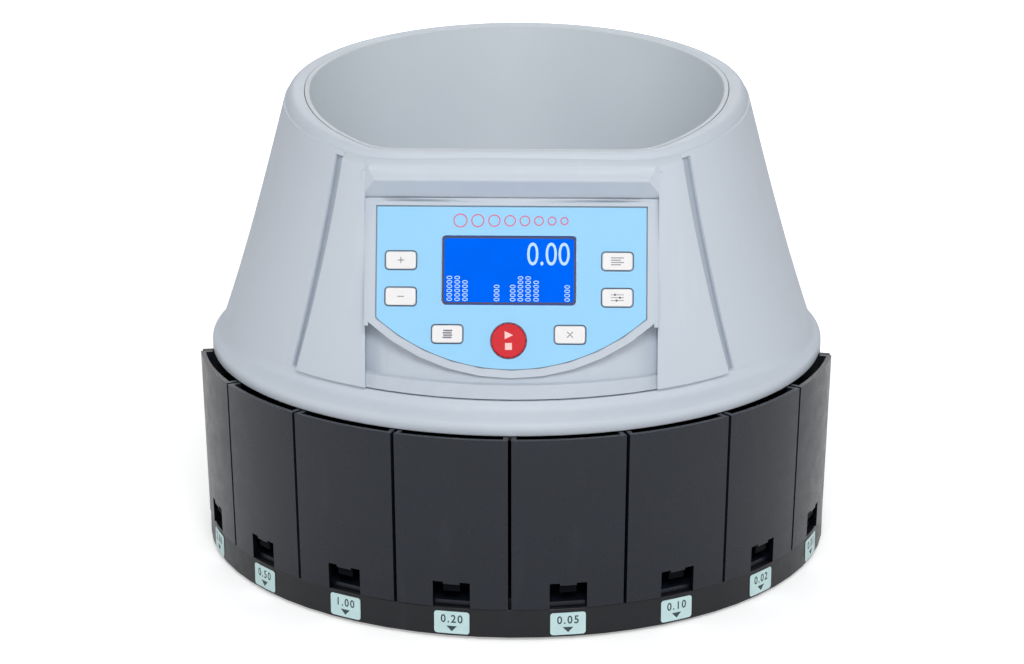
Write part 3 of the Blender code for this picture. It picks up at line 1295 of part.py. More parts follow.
def build():
    grey = material("housing_grey", (0.60, 0.64, 0.69), 0.42)
    charcoal = material("drawer_charcoal", (0.045, 0.047, 0.055), 0.38)
    black = material("cover_black", (0.03, 0.03, 0.035), 0.5)
    blue = material("overlay_blue", (0.36, 0.66, 0.90), 0.45)
    white = material("key_white", (0.85, 0.86, 0.88), 0.4)
    red = material("start_red", (0.75, 0.05, 0.07), 0.35)
    screen = material("screen_blue", (0.0, 0.15, 0.85), 0.15)
    rubber = material("foot_rubber", (0.02, 0.02, 0.02), 0.8)
    steel = material("steel", (0.6, 0.6, 0.62), 0.3, 1.0)
    brass = material("brass", (0.7, 0.5, 0.2), 0.3, 1.0)
    green = material("board_green", (0.02, 0.2, 0.08), 0.5)
    amber = material("rotor_plastic", (0.75, 0.76, 0.78), 0.4)

    shared_foot = finish(foot(), rubber, smooth=True)
    for index, station in enumerate(FOOT_STATIONS, 1):
        copy = bpy.data.objects.new(f"foot_{index}", shared_foot.data)
        bpy.context.scene.collection.objects.link(copy)
        place(copy, station, FOOT_CIRCLE_RADIUS)
    bpy.data.objects.remove(shared_foot)
    finish(base_ring(), charcoal, smooth=True)
    finish(base_tray(), charcoal, smooth=True)
    finish(inner_drum(), black, smooth=True)
    finish(rear_cover(), black, smooth=True)

    shared_drawer = finish(drawer(), charcoal, smooth=True)
    for index in range(DRAWER_COUNT):
        copy = bpy.data.objects.new(f"coin_drawer_{index + 1}", shared_drawer.data)
        bpy.context.scene.collection.objects.link(copy)
        place(copy, drawer_station(index), 0.0)
    bpy.data.objects.remove(shared_drawer)

    finish(sorting_deck(), steel, smooth=True)
    finish(coin_rail(), grey, smooth=True)
    finish(sorting_rotor(), amber, smooth=True)
    finish(rotor_cap(), amber, smooth=True)
    finish(spindle(), steel, smooth=True)
    finish(bearing_housing(), brass, smooth=True)
    finish(pulley("rotor_pulley", ROTOR_PULLEY_RADIUS, SPINDLE_RADIUS + SEAT_GAP), black, smooth=True)
    motor_pulley = pulley("motor_pulley", MOTOR_PULLEY_RADIUS, MOTOR_SHAFT_RADIUS + SEAT_GAP)
    motor_pulley.location.y = MOTOR_OFFSET
    finish(motor_pulley, black, smooth=True)
    finish(drive_belt(), rubber, smooth=True)
    finish(motor_bracket(), steel)
    finish(drive_motor(), steel, smooth=True)
    finish(motor_shaft(), steel, smooth=True)
    finish(place(coin_sensor(), SENSOR_STATION, SENSOR_RADIUS), black)

    finish(chamber_cover(), grey, smooth=True)
    finish(hopper_bowl(), grey, smooth=True)
    finish(upper_housing(), grey, smooth=True)

    frame = panel_frame()
    finish(panel_bezel(frame), grey, smooth=True)
    finish(panel_overlay(), blue, frame)
    finish(lcd_window(), screen, frame)
    finish(lcd_module(), steel, frame)
    finish(keypad_board(), green, frame)
    for name, u, v in key_places():
        key = finish(panel_key(name), red if name == "key_start" else white, frame)
        key.location = (u, v, 0.0)
    for index, (u, v) in enumerate(board_bosses(), 1):
        screw = finish(pan_screw(f"board_screw_{index}", BOARD_SCREW_LENGTH), steel, frame, smooth=True)
        screw.location = (u, v, -BOARD_DEPTH - BOARD_THICKNESS - SEAT_GAP)

    for index, station in enumerate(BASE_SCREW_STATIONS, 1):
        screw = finish(pan_screw(f"base_screw_{index}"), steel, smooth=True)
        place(screw, station, BASE_SCREW_CIRCLE, BASE_UNDERSIDE - SEAT_GAP)

    main_board = finish(board("main_board", MAIN_BOARD_SIZE, MAIN_COMPONENT_SHARES), green)
    main_board.location.xy = MAIN_BOARD_CENTRE
    supply = finish(board("power_supply", SUPPLY_SIZE, SUPPLY_COMPONENT_SHARES), green)
    supply.location.xy = SUPPLY_CENTRE

    inlet = finish(power_inlet(), black)
    inlet.matrix_world = Matrix.Translation((INLET_X, REAR_FLAT, FITTING_HEIGHT)) @ BACK_TURN
    for index, side in enumerate((-1, 1), 1):
        screw = finish(pan_screw(f"inlet_screw_{index}"), steel, smooth=True)
        seat = REAR_FLAT + INLET_FLANGE_THICKNESS + 2 * SEAT_GAP
        screw.location = (INLET_X + side * INLET_SCREW_SPREAD, seat, FITTING_HEIGHT)
        screw.rotation_euler.x = pi / 2
    socket = finish(switch_frame(), black)
    socket.matrix_world = Matrix.Translation((SWITCH_X, REAR_FLAT, FITTING_HEIGHT)) @ BACK_TURN
    rocker = finish(power_rocker(), black)
    rocker.location = (SWITCH_X, REAR_FLAT + ROCKER_AXIS_STAND, FITTING_HEIGHT)
    rocker.rotation_euler.x = -pi / 2 - ROCKER_TILT

    front_reach = DRAWER_FRONT_RADIUS + DRAWER_LEAN
    rocker_reach = ROCKER_HALF_LENGTH * sin(ROCKER_TILT) + ROCKER_END_HEIGHT * cos(ROCKER_TILT)
    rear_reach = REAR_FLAT + ROCKER_AXIS_STAND + rocker_reach
    machine = bpy.data.objects.new("machine", None)
    bpy.context.scene.collection.objects.link(machine)
    machine.location.y = (front_reach - rear_reach) / 2
    for made in bpy.data.objects:
        if made.parent is None and made is not machine:
            made.parent = machine


for existing in list(bpy.data.objects):
    bpy.data.objects.remove(existing)
build()
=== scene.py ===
"""Coin sorting machine, dressed for rendering: finer housing, hopper, drawers and base, and the print."""

import json
from math import acos, asin, atan2, copysign, cos, hypot, pi, radians, sin, sqrt, tan

import bmesh
import bpy
from mathutils import Matrix, Vector

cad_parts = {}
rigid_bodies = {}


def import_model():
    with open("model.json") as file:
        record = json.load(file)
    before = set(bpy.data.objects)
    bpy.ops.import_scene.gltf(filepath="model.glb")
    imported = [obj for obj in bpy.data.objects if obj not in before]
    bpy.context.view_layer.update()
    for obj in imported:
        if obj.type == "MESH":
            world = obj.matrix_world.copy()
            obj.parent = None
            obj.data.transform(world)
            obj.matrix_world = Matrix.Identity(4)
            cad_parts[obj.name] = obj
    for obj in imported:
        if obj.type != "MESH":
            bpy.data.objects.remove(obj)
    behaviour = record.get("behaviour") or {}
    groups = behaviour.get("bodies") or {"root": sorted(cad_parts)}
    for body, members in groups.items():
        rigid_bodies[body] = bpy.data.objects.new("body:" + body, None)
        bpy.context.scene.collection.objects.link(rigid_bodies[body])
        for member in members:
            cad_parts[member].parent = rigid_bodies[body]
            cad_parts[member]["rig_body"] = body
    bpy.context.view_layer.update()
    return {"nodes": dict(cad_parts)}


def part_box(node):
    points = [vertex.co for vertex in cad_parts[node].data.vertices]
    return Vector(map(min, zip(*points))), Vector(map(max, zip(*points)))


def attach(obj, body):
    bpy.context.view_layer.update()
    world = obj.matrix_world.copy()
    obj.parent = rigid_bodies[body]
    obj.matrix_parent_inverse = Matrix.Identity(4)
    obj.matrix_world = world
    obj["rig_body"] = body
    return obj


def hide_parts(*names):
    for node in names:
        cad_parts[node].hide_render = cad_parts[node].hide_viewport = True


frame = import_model()

# The machine's axis stands behind the origin
AXIS_Y = (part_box("spindle")[0].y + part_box("spindle")[1].y) / 2
MACHINE = "machine"
SEAT_GAP = 0.0003
OVERRUN = 0.002
SHARP_ANGLE = radians(32)
BEVEL_ANGLE = radians(38)
FLAT_ANGLE = radians(0.6)
MERGE_REACH = 0.000002

# Drawers and base: widths of rounded edges, and what tells the front wall and its window apart, whose inside
# takes painted shade
DRAWER_COUNT = 8
DRAWER_PITCH = radians(20)
BASE_RADIUS = 0.1769
DRAWER_EDGE = 0.0006
DRAWER_LEVEL_SHARE = 0.3
COVER_EDGE = 0.0006
RING_EDGE = 0.0005
BEZEL_EDGE = 0.00045
FRONT_ANGLE = radians(10)
FRONT_SLOPE = 0.0252
WINDOW_HEIGHT = 0.0145
WINDOW_DEPTH = 0.0015
WINDOW_LEVEL = 0.8

# Labels on the base
LABEL_SIZE = (0.0190, 0.0125)
LABEL_CORNER = 0.0016
LABEL_THICKNESS = 0.00025
LABEL_HEIGHT = 0.0096
LABEL_SEAT = 0.00004
LABEL_SLICE = 0.0019
LABEL_VALUES = ("2.00", "0.50", "1.00", "0.20", "0.05", "0.10", "0.02", "0.01")
VALUE_SIZE = 0.0062
VALUE_STRETCH = 0.92
VALUE_SPACING = 1.25
VALUE_WEIGHT = 0.00011
VALUE_RISE = 0.0019
ARROW_WIDTH = 0.0058
ARROW_HEIGHT = 0.0030
ARROW_DROP = 0.0034
PRINT_THICKNESS = 0.00004

# Upper housing
SKIRT_RADIUS = 0.1728
SKIRT_WALL = 0.003
SKIRT_STRAIGHT = 0.0037
SKIRT_EDGE = 0.0007
SHOULDER_INNER_RADIUS = 0.1591
HOUSING_WALL = 0.003
HOUSING_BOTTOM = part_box("upper_housing")[0].z
SKIRT_SHOULDER = 0.1173
CONE_FOOT_RADIUS = 0.1621
CONE_FOOT_HEIGHT = 0.130
SIDE_FLARE = 0.0034
SIDE_START = radians(45)
SIDE_RISE = radians(35)
SIDE_END = radians(145)
SIDE_FALL = radians(30)
SIDE_ROUND_SHARES = ((1.0, 0.0), (0.95, 0.13), (0.75, 0.24), (0.48, 0.32), (0.27, 0.48), (0.0, 1.0))
ROUND_STEPS = 4
SKIRT_ROUND_SHARES = ((1.0, 0.0), (0.90, 0.20), (0.62, 0.37), (0.24, 0.56), (0.05, 0.85), (0.0, 1.0))
RIM_HEIGHT = 0.2608
RIM_TILT = radians(3.9)
RIM_SIDE_RADIUS = 0.1295
RIM_FRONT_REACH = 0.150
RIM_FRONT_CHORD = 0.125
RIM_CORNER_BLEND = 0.010
RIM_SIDE_FILLET = 0.0065
RIM_FRONT_FILLET = 0.003
RIM_LIP_EASE = 0.0005
RIM_STEP = 0.0009
RIM_STEPS = 8
APRON_RAISE = 0.003
APRON_STATION = radians(38.4)
APRON_SWING = radians(6.5)
APRON_SWING_POWER = 1.3
APRON_SWING_SPAN = radians(19.2)
APRON_TURN = radians(0.3)
APRON_FOOT = 0.0003
GROOVE_SPAN = radians(3.4)
GROOVE_TURN = radians(0.22)
GROOVE_DEPTH = 0.0022
GROOVE_HEAD = 0.003
GROOVE_END = 0.001
GROOVE_FLOOR_SHARES = (0.4, 1.1)
APRON_CORNER = 0.0035
APRON_SOFTNESS = 0.35
APRON_FADE = 0.002
APRON_LINES = (
    36.8, 37.5, 37.9, 38.1, 38.25, 38.4, 38.55, 38.7, 39,
    39.7, 40.5, 41.2, 41.58, 41.69, 41.8, 42, 42.5, 43.2,
)
APRON_LINES_MIDDLE = 40
APRON_LINES_REACH = 3
PLAIN_LINES_PITCH = 2
FOOT_ROWS = (0.0, 0.0012, 0.0025, 0.004, 0.006, 0.009, 0.012, 0.016, 0.022, 0.032, 0.045, 0.065, 0.09, 0.13)
MIDDLE_ROWS_SPAN = 0.77
MIDDLE_ROWS = 16
TOP_ROWS = (0.92, 0.935, 0.95, 0.965, 0.98, 0.99, 1.0)
BROW_FADE = 0.008
LIP_DEPTH = 0.004
REAR_FLAT = 0.150
BROW_HEIGHT = 0.240
BROW_CHORD = 0.1275
BROW_HIP = 0.0056
BROW_PROUD = 0.0004
BROW_NOSE_TOP = ((-0.0002, 0.0086), (0.0003, 0.0066), (0.0010, 0.0044), (0.0021, 0.0025), (0.0033, 0.0011))
BROW_NOSE_EDGE = ((0.0040, 0.0002), (0.0040, -0.0008))
BROW_NOSE_UNDER = ((0.0032, -0.0021), (0.0014, -0.0048), (-0.0008, -0.0082), (-0.0026, -0.0108))
BROW_BACK = 0.0015
BROW_STEPS = 3
BROW_HIP_START = 0.02
BROW_HIP_SPAN = 0.96
BROW_HIP_ROWS = (0.1, 1, 2, 4)
DEPTH_TRIES = 8
LINTEL_DEPTH = 0.008
LEDGE_GROOVE = 0.0009
OPENING_HALF_WIDTH = 0.0768
OPENING_INSIDE = 0.095
OPENING_TOP = 0.249
OPENING_EDGE = 0.0007
OPENING_EDGE_ANGLE = radians(25)
OPENING_EDGE_DEPTH = 0.0008
OPENING_EDGE_FOOT = 0.0002
OPENING_EDGE_REACH = 0.00002
SEAM_REACH = 0.000005

# Rear cover's lips, measured out along the end seams and back from them
LIP_ROOT = 0.1720
LIP_LOW_RADIUS = 0.1769
LIP_HIGH_RADIUS = 0.1787
LIP_NEAR = 0.0011
LIP_FAR = 0.0034

# Hopper bowl
BOWL_SIDE_RADIUS = 0.115
BOWL_FRONT_REACH = 0.145
BOWL_FRONT_CHORD = 0.116
BOWL_CORNER_BLEND = 0.008
BOWL_LIP = 0.003
BOWL_LIP_EASE = 0.0008
BOWL_WALL = 0.0023
THROAT_RADIUS = 0.066
BOWL_HOLLOW = 0.0010
BOWL_STATIONS = 144
BOWL_ROWS = 18

# Front panel, in its own plane: u across, v up the slope, n outwards
PANEL_LEAN = radians(21.5)
PANEL_FOOT = CONE_FOOT_RADIUS
OVERLAY_TOP = 0.1013
OVERLAY_FACE = -0.0002
OVERLAY_HALF_WIDTH = 0.071
OVERLAY_SIDE_BOTTOM = 0.4166 * OVERLAY_TOP
OVERLAY_BOTTOM = 0.1490 * OVERLAY_TOP
OVERLAY_LINE = 0.0004
STRIP_SINK = 0.0008
STRIP_DEPTH = 0.0030
STRIP_GAP = 0.00005
STRIP_RISE = 0.0012
BEZEL_BAND = 0.004
SCREEN_CENTRE = 0.0675
SCREEN_SIZE = (0.070, 0.0358)
SCREEN_CORNER = 0.002
SCREEN_FACE = -0.0004
SCREEN_LINE = 0.0012
SCREEN_GAP = 0.0001

# Numerals on the display
TOTAL_SIZE = 0.0172
TOTAL_STRETCH = 0.78
TOTAL_PLACE = (0.0308, 0.0755)
COUNT_SIZE = 0.0042
COUNT_SPACING = 1.08
COUNT_FOOT = 0.0512
COUNTS = (
    (-0.0325, "000000"), (-0.0284, "000000"), (-0.0243, "00000"), (-0.0078, "0000"), (0.0006, "0000"),
    (0.0046, "000000"), (0.0086, "000000"), (0.0128, "00000"), (0.0290, "0000"),
)

# Signs on the keys
STROKE = 0.00045
PLUS_REACH = 0.0016
MINUS_REACH = 0.0017
SIGN_REACH = 0.0034
LIST_ROWS = (0.0018, 0.0006, -0.0006, -0.0018)
LIST_SHORTER = 0.0016
SLIDERS = ((0.0015, -0.0012), (0.0, 0.0014), (-0.0015, -0.0004))
KNOB_RADIUS = 0.0006
STACK_COUNT = 4
STACK_SIZE = (0.0048, 0.0008)
STACK_CORNER = 0.0003
STACK_SHIFT = 0.0003
STACK_START = -0.0018
STACK_PITCH = 0.0012
CROSS_REACH = 0.0015
CROSS_GAP_SHARE = 0.6
RUN_SIGN = [(-0.0020, 0.0008), (0.0024, 0.0029), (-0.0020, 0.0050)]
STOP_SIGN = (-0.0018, -0.0048, 0.0018, -0.0012)

# Coin rings above the screen
TITLE_START = -0.0305
TITLE_HEIGHT = 0.0935
TITLE_LINE = 0.00062
TITLE_RADIUS = 0.0037
TITLE_FALL = 0.00022
TITLE_GAP = 0.0019

# Keys and the frame of the panel
KEY_SHIFT = -0.0012
KEY_SIZE = (0.0157, 0.0091)
KEY_CORNER = 0.0015
KEY_FACE = 0.0006
KEY_GAP = 0.0003
KEY_LINE = 0.0004
START_KEY_RADIUS = 0.0090
KEYS = {
    "key_plus": (-0.0577, 0.0725),
    "key_minus": (-0.0577, 0.0535),
    "key_batch": (-0.0332, 0.0340),
    "key_clear": (0.0308, 0.0340),
    "key_report": (0.0553, 0.0725),
    "key_set": (0.0553, 0.0535),
    "key_start": (KEY_SHIFT, 0.0307),
}
PANEL_PLACE = Matrix.Translation((0.0, AXIS_Y - PANEL_FOOT, CONE_FOOT_HEIGHT))
PANEL = PANEL_PLACE @ Matrix.Rotation(pi / 2 - PANEL_LEAN, 4, "X")

# How gloss varies on every finish, and the rubbed streaks on some
PATCH_DETAIL = 3.0
GLOSS_SCALE = 3.7
ROUGH_SPREAD = 0.05
SCUFF_SCALE = 95
SCUFF_DETAIL = 5.0
SCUFF_STRETCH = (1.0, 1.0, 0.22)
SCUFF_RANGE = (0.60, 0.78)


def linear(red, green, blue):
    """A screen colour of 0 to 255 as a linear one."""
    shares = [value / 255 for value in (red, green, blue)]
    return [((share + 0.055) / 1.055) ** 2.4 if share > 0.04045 else share / 12.92 for share in shares]


def wired(tree, kind, inputs, **settings):
    """A new shader node's outputs, after its settings and its inputs, each a value or another output."""
    node = tree.nodes.new("ShaderNode" + kind)
    for name, value in settings.items():
        setattr(node, name, value)
    for slot, value in inputs.items():
        if isinstance(value, bpy.types.NodeSocket):
            tree.links.new(value, node.inputs[slot])
        else:
            node.inputs[slot].default_value = value
    return node.outputs


def noise(tree, coords, scale, detail=2.0, stretch=(1.0, 1.0, 1.0)):
    """A noise texture in object space, in features to the metre."""
    place = wired(tree, "Mapping", {"Scale": stretch, "Vector": coords})["Vector"]
    return wired(tree, "TexNoise", {"Scale": scale, "Detail": detail, "Vector": place})["Fac"]


def spread(tree, value, low, high, start=0.3, end=0.7):
    """Maps a noise value to a range."""
    ends = {"From Min": start, "From Max": end, "To Min": low, "To Max": high}
    return wired(tree, "MapRange", {**ends, "Value": value})["Result"]


def tinted(tree, value, dark, light):
    """A mix of two colours by a share."""
    return wired(tree, "Mix", {"A": dark, "B": light, "Factor": value}, data_type="RGBA")["Result"]


def finish_material(name, colour, roughness, variation=0.03, blotch=22, grain=1500, bump=0.00002,
                    metallic=0.0, stretch=(1.0, 1.0, 1.0), specular=0.5):
    """A procedural finish: slight blotches of colour and gloss over a fine grain."""
    made = bpy.data.materials.new(name)
    made.use_nodes = True
    tree = made.node_tree
    shader = tree.nodes["Principled BSDF"]
    shader.inputs["Metallic"].default_value = metallic
    shader.inputs["Specular IOR Level"].default_value = specular
    coords = wired(tree, "TexCoord", {})["Object"]
    dark = [*(value * (1 - variation) for value in colour), 1.0]
    light = [*(min(value * (1 + variation), 1.0) for value in colour), 1.0]
    patches = spread(tree, noise(tree, coords, blotch, PATCH_DETAIL, stretch), 0.0, 1.0)
    tree.links.new(tinted(tree, patches, dark, light), shader.inputs["Base Color"])
    gloss = noise(tree, coords, blotch * GLOSS_SCALE, PATCH_DETAIL, stretch)
    rough = spread(tree, gloss, roughness - ROUGH_SPREAD, roughness + ROUGH_SPREAD)
    tree.links.new(rough, shader.inputs["Roughness"])
    height = noise(tree, coords, grain, stretch=stretch)
    relief = wired(tree, "Bump", {"Distance": bump, "Strength": 1.0, "Height": height})
    tree.links.new(relief["Normal"], shader.inputs["Normal"])
    return made


def paint(target, surface):
    """Gives an object one material."""
    target.data.materials.clear()
    target.data.materials.append(surface)
    return target


def added(name, data):
    """A new object in the scene."""
    made = bpy.data.objects.new(name, data)
    bpy.context.scene.collection.objects.link(made)
    return made


def evaluated(target):
    """The target's mesh as its modifiers leave it."""
    bpy.context.view_layer.update()
    return bpy.data.meshes.new_from_object(target.evaluated_get(bpy.context.evaluated_depsgraph_get()))


def shade(mesh):
    """Shades a mesh smoothly except at its sharp edges."""
    mesh.shade_smooth()
    mesh.set_sharp_from_angle(angle=SHARP_ANGLE)


def new_piece(name, shape, surface, smooth=True):
    """Closes a bmesh into an object with a material."""
    bmesh.ops.recalc_face_normals(shape, faces=shape.faces)
    if shape.calc_volume(signed=True) < 0:
        bmesh.ops.reverse_faces(shape, faces=shape.faces)
    mesh = bpy.data.meshes.new(name)
    shape.to_mesh(mesh)
    shape.free()
    made = added(name, mesh)
    if smooth:
        shade(mesh)
    return paint(made, surface)


def carry(piece, body, slot, *nodes):
    """Puts a piece on its body and hides the CAD nodes that it stands for. The slot, its finish's name, is
    not used.
    """
    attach(piece, body)
    if nodes:
        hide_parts(*nodes)
    return piece


def combine(target, other, operation):
    """Joins or cuts the target with another object, which is used up."""
    modifier = target.modifiers.new(operation.title(), "BOOLEAN")
    modifier.operation = operation
    modifier.solver = "EXACT"
    modifier.object = other
    result = evaluated(target)
    target.modifiers.remove(modifier)
    target.data = result
    bpy.data.objects.remove(other)


def direction(station):
    """The unit vector from the machine's axis towards a station, counted from the front towards +X."""
    return Vector((sin(station), -cos(station), 0.0))


def around(station, radius, height):
    """A place at a station, a distance from the axis and a height."""
    return direction(station) * radius + Vector((0.0, AXIS_Y, height))


def loft(name, sections, surface, closed=True):
    """A skin through closed sections of equal point counts: a ring, or a bar with flat ends."""
    shape = bmesh.new()
    loops = [[shape.verts.new(point) for point in section] for section in sections]
    after = loops[1:] + loops[:1] if closed else loops[1:]
    if not closed:
        shape.faces.new(loops[0])
        shape.faces.new(loops[-1])
    for loop, following in zip(loops, after):
        count = len(loop)
        for i in range(count):
            j = (i + 1) % count
            shape.faces.new((loop[i], loop[j], following[j], following[i]))
    return new_piece(name, shape, surface)


def plate(name, outline, bottom, top, surface):
    """A flat plate over an outline of x and y."""
    sections = [[(x, y, height) for x, y in outline] for height in (bottom, top)]
    return loft(name, sections, surface, closed=False)


def bar(left, low, right, high):
    """A rectangle's outline."""
    return [(left, low), (right, low), (right, high), (left, high)]


def rounded(width, height, corner, steps=6, centre=(0.0, 0.0)):
    """A rectangle's outline with rounded corners."""
    outline = []
    for quarter, (i, j) in enumerate(((1, -1), (1, 1), (-1, 1), (-1, -1))):
        x = centre[0] + i * (width / 2 - corner)
        y = centre[1] + j * (height / 2 - corner)
        for step in range(steps + 1):
            turn = pi / 2 * (quarter - 1 + step / steps)
            outline.append((x + corner * cos(turn), y + corner * sin(turn)))
    return outline


def circle(radius, segments=48, centre=(0.0, 0.0)):
    turns = [2 * pi * i / segments for i in range(segments)]
    return [(centre[0] + radius * cos(turn), centre[1] + radius * sin(turn)) for turn in turns]


def softened(node, surface, slot, width, level_share=1.0):
    """Stands a copy in for a CAD node, with its edges rounded and level ones by a share of the width."""
    shape = bmesh.new()
    shape.from_mesh(frame["nodes"][node].data)
    bmesh.ops.remove_doubles(shape, verts=shape.verts, dist=MERGE_REACH)
    bmesh.ops.dissolve_limit(shape, angle_limit=FLAT_ANGLE, verts=shape.verts, edges=shape.edges)
    layer = shape.edges.layers.float.new("bevel_weight_edge")
    for edge in shape.edges:
        if len(edge.link_faces) == 2 and edge.calc_face_angle(0.0) > BEVEL_ANGLE:
            start, end = (vertex.co for vertex in edge.verts)
            edge[layer] = 1.0 if abs(end.z - start.z) > (end - start).length / 2 else level_share
    mesh = bpy.data.meshes.new(node + "_finish")
    shape.to_mesh(mesh)
    shape.free()
    made = added(node + "_finish", mesh)
    modifier = made.modifiers.new("Edges", "BEVEL")
    modifier.width = width
    modifier.segments = 2
    modifier.limit_method = "WEIGHT"
    modifier.harden_normals = True
    shade(mesh)
    paint(made, surface)
    return carry(made, frame["nodes"][node]["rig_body"], slot, node)


def smooth_front(made):
    """Gives a drawer's front wall the normals of its true curve, and the inside of its window painted shade:
    a near-black colour with little gloss.
    """
    mesh = evaluated(made)
    made.modifiers.clear()
    made.data = mesh
    mesh.materials.append(window_shade_paint)
    window_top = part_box("coin_drawer_1")[0].z + WINDOW_HEIGHT
    normals = [corner.vector.copy() for corner in mesh.corner_normals]
    for polygon in mesh.polygons:
        outward = polygon.center - Vector((0.0, AXIS_Y, polygon.center.z))
        sunk = BASE_RADIUS - WINDOW_DEPTH < outward.length < BASE_RADIUS
        # Faces inside the window take the painted shade
        if sunk and polygon.center.z < window_top and abs(polygon.normal.z) < WINDOW_LEVEL:
            polygon.material_index = len(mesh.materials) - 1
        if outward.length > BASE_RADIUS and polygon.normal.angle(outward) < FRONT_ANGLE:
            for index in polygon.loop_indices:
                at = mesh.vertices[mesh.loops[index].vertex_index].co
                level = Vector((at.x, at.y - AXIS_Y, 0.0)).normalized()
                normals[index] = (level - Vector((0.0, 0.0, FRONT_SLOPE))).normalized()
    mesh.normals_split_custom_set(normals)


# Finishes
def plastic(name, shade, roughness, **detail):
    return finish_material(name, linear(*shade), roughness, **detail)


def ink(name, shade):
    """Print: nearly even, a little matt."""
    return plastic(name, shade, 0.5, variation=0.04, blotch=400, grain=4000, bump=0.000005)


def metal(name, shade, roughness, blotch, stretch=(1.0, 1.0, 1.0)):
    return finish_material(name, linear(*shade), roughness, 0.05, blotch, 1500, 0.00001, 1.0, stretch)


def scuffed(made, lighter, share, rub):
    """Adds faint rubbed streaks that run up and down, paler and duller than the plastic round them."""
    tree = made.node_tree
    colour, rough = (tree.nodes["Principled BSDF"].inputs[name] for name in ("Base Color", "Roughness"))
    coords = wired(tree, "TexCoord", {})["Object"]
    rubbed = noise(tree, coords, SCUFF_SCALE, SCUFF_DETAIL, SCUFF_STRETCH)
    streaks = spread(tree, rubbed, 0.0, share, *SCUFF_RANGE)
    tree.links.new(tinted(tree, streaks, colour.links[0].from_socket, (*lighter, 1.0)), colour)
    duller = {0: streaks, 1: rub, 2: rough.links[0].from_socket}
    tree.links.new(wired(tree, "Math", duller, operation="MULTIPLY_ADD")[0], rough)


SHELL = {"roughness": 0.50, "variation": 0.012, "grain": 2600, "bump": 0.00003, "specular": 0.3}
DARK = {"variation": 0.06, "grain": 2400, "bump": 0.00003}
PRESSED = {"blotch": 60, "grain": 3600, "bump": 0.00001}
grey = plastic("housing_plastic", (196, 204, 214), blotch=14, **SHELL)
# Painted shade: a darker grey for the floor of the groove beside the apron, standing for the shade there
groove_shade_paint = plastic("groove_painted_shade", (166, 176, 187), blotch=20, **SHELL)
bezel_grey = plastic("bezel_plastic", (190, 199, 209), blotch=20, **SHELL)
bowl_grey = plastic(
    "bowl_plastic", (196, 204, 211), 0.50,
    variation=0.012, blotch=16, grain=2200, bump=0.00002, specular=0.3,
)
charcoal = plastic("drawer_plastic", (21, 26, 36), 0.30, blotch=30, specular=0.45, **DARK)
base_charcoal = plastic("base_plastic", (22, 23, 28), 0.36, blotch=40, specular=0.4, **DARK)
# Painted shade: near-black with little gloss, for the inside of each drawer's finger window, standing for the
# shade there
window_shade_paint = plastic("window_painted_shade", (8, 10, 14), 0.6, variation=0.06, bump=0.00003, specular=0.04)
scuffed(charcoal, linear(60, 63, 70), 0.16, 0.08)
scuffed(base_charcoal, linear(60, 61, 66), 0.16, 0.08)
scuffed(grey, linear(206, 211, 216), 0.30, 0.06)
black = plastic("cover_plastic", (36, 36, 40), 0.45, variation=0.06, grain=1800, bump=0.00004)
rubber = plastic("foot_rubber_finish", (28, 28, 29), 0.75, variation=0.10, grain=1200, bump=0.00005)
steel = metal("brushed_steel", (186, 188, 192), 0.30, 120, (1.0, 12.0, 1.0))
zinc = metal("zinc_plated", (196, 196, 198), 0.28, 300)
brass = metal("turned_brass", (200, 165, 95), 0.30, 200, (1.0, 1.0, 10.0))
rail_white = plastic("rail_plastic_finish", (222, 221, 214), 0.32, variation=0.02, grain=2000, bump=0.00002)
board_green = plastic("solder_mask", (24, 92, 52), 0.35, variation=0.12, blotch=260, grain=900, bump=0.00002)
film = plastic(
    "overlay_film", (152, 208, 244), 0.45,
    variation=0.010, blotch=30, grain=5200, bump=0.00001, specular=0.12,
)
white = plastic("key_plastic", (236, 234, 234), 0.45, variation=0.008, specular=0.12, **PRESSED)
red = plastic("start_plastic", (206, 34, 44), 0.42, variation=0.02, specular=0.15, **PRESSED)
outline_ink = ink("outline_ink", (36, 54, 92))
start_ink = ink("start_outline_ink", (84, 46, 70))
legend_ink = ink("legend_ink", (104, 108, 118))
pink_ink = ink("title_ink", (208, 84, 126))
pale_ink = ink("start_legend_ink", (246, 196, 192))
edge_ink = ink("screen_edge", (6, 26, 78))
# A thin grey-blue line just inside the film's edge, drawn on the film
film_edge_colour = ink("overlay_edge", (96, 122, 146))
label_stock = plastic(
    "label_stock", (200, 228, 229), 0.42,
    variation=0.03, blotch=160, grain=3000, bump=0.00001,
)
label_ink = ink("label_ink", (44, 66, 74))


def lit(made, glow, strength):
    """Gives a display finish some light of its own."""
    shader = made.node_tree.nodes["Principled BSDF"]
    shader.inputs["Emission Color"].default_value = (*linear(*glow), 1.0)
    shader.inputs["Emission Strength"].default_value = strength


screen = plastic(
    "display_blue", (0, 88, 216), 0.35,
    variation=0.06, blotch=45, grain=9000, bump=0.000002, specular=0.0,
)
digits = plastic(
    "display_digits", (170, 204, 238), 0.4,
    variation=0.02, blotch=300, grain=6000, bump=0.000002, specular=0.1,
)
lit(screen, (0, 104, 248), 0.22)
lit(digits, (190, 222, 255), 0.18)


# Housing shape, from the same sizes as the solid
def blend_least(first, second, reach):
    """The smaller of two values, with a smooth change from one to the other."""
    share = min(max(0.5 + 0.5 * (second - first) / reach, 0.0), 1.0)
    return second + (first - second) * share - reach * share * (1.0 - share)


def outline_radius(station, side_radius, front_reach, chord, blend):
    """A round outline that swells towards the front and is cut straight there."""
    across, ahead = sin(station), cos(station)
    if ahead <= 0:
        return side_radius
    swell = 1 / sqrt((across / side_radius) ** 2 + (ahead / front_reach) ** 2)
    if ahead * front_reach * 2 < chord:
        return swell
    return blend_least(swell, chord / ahead, blend)


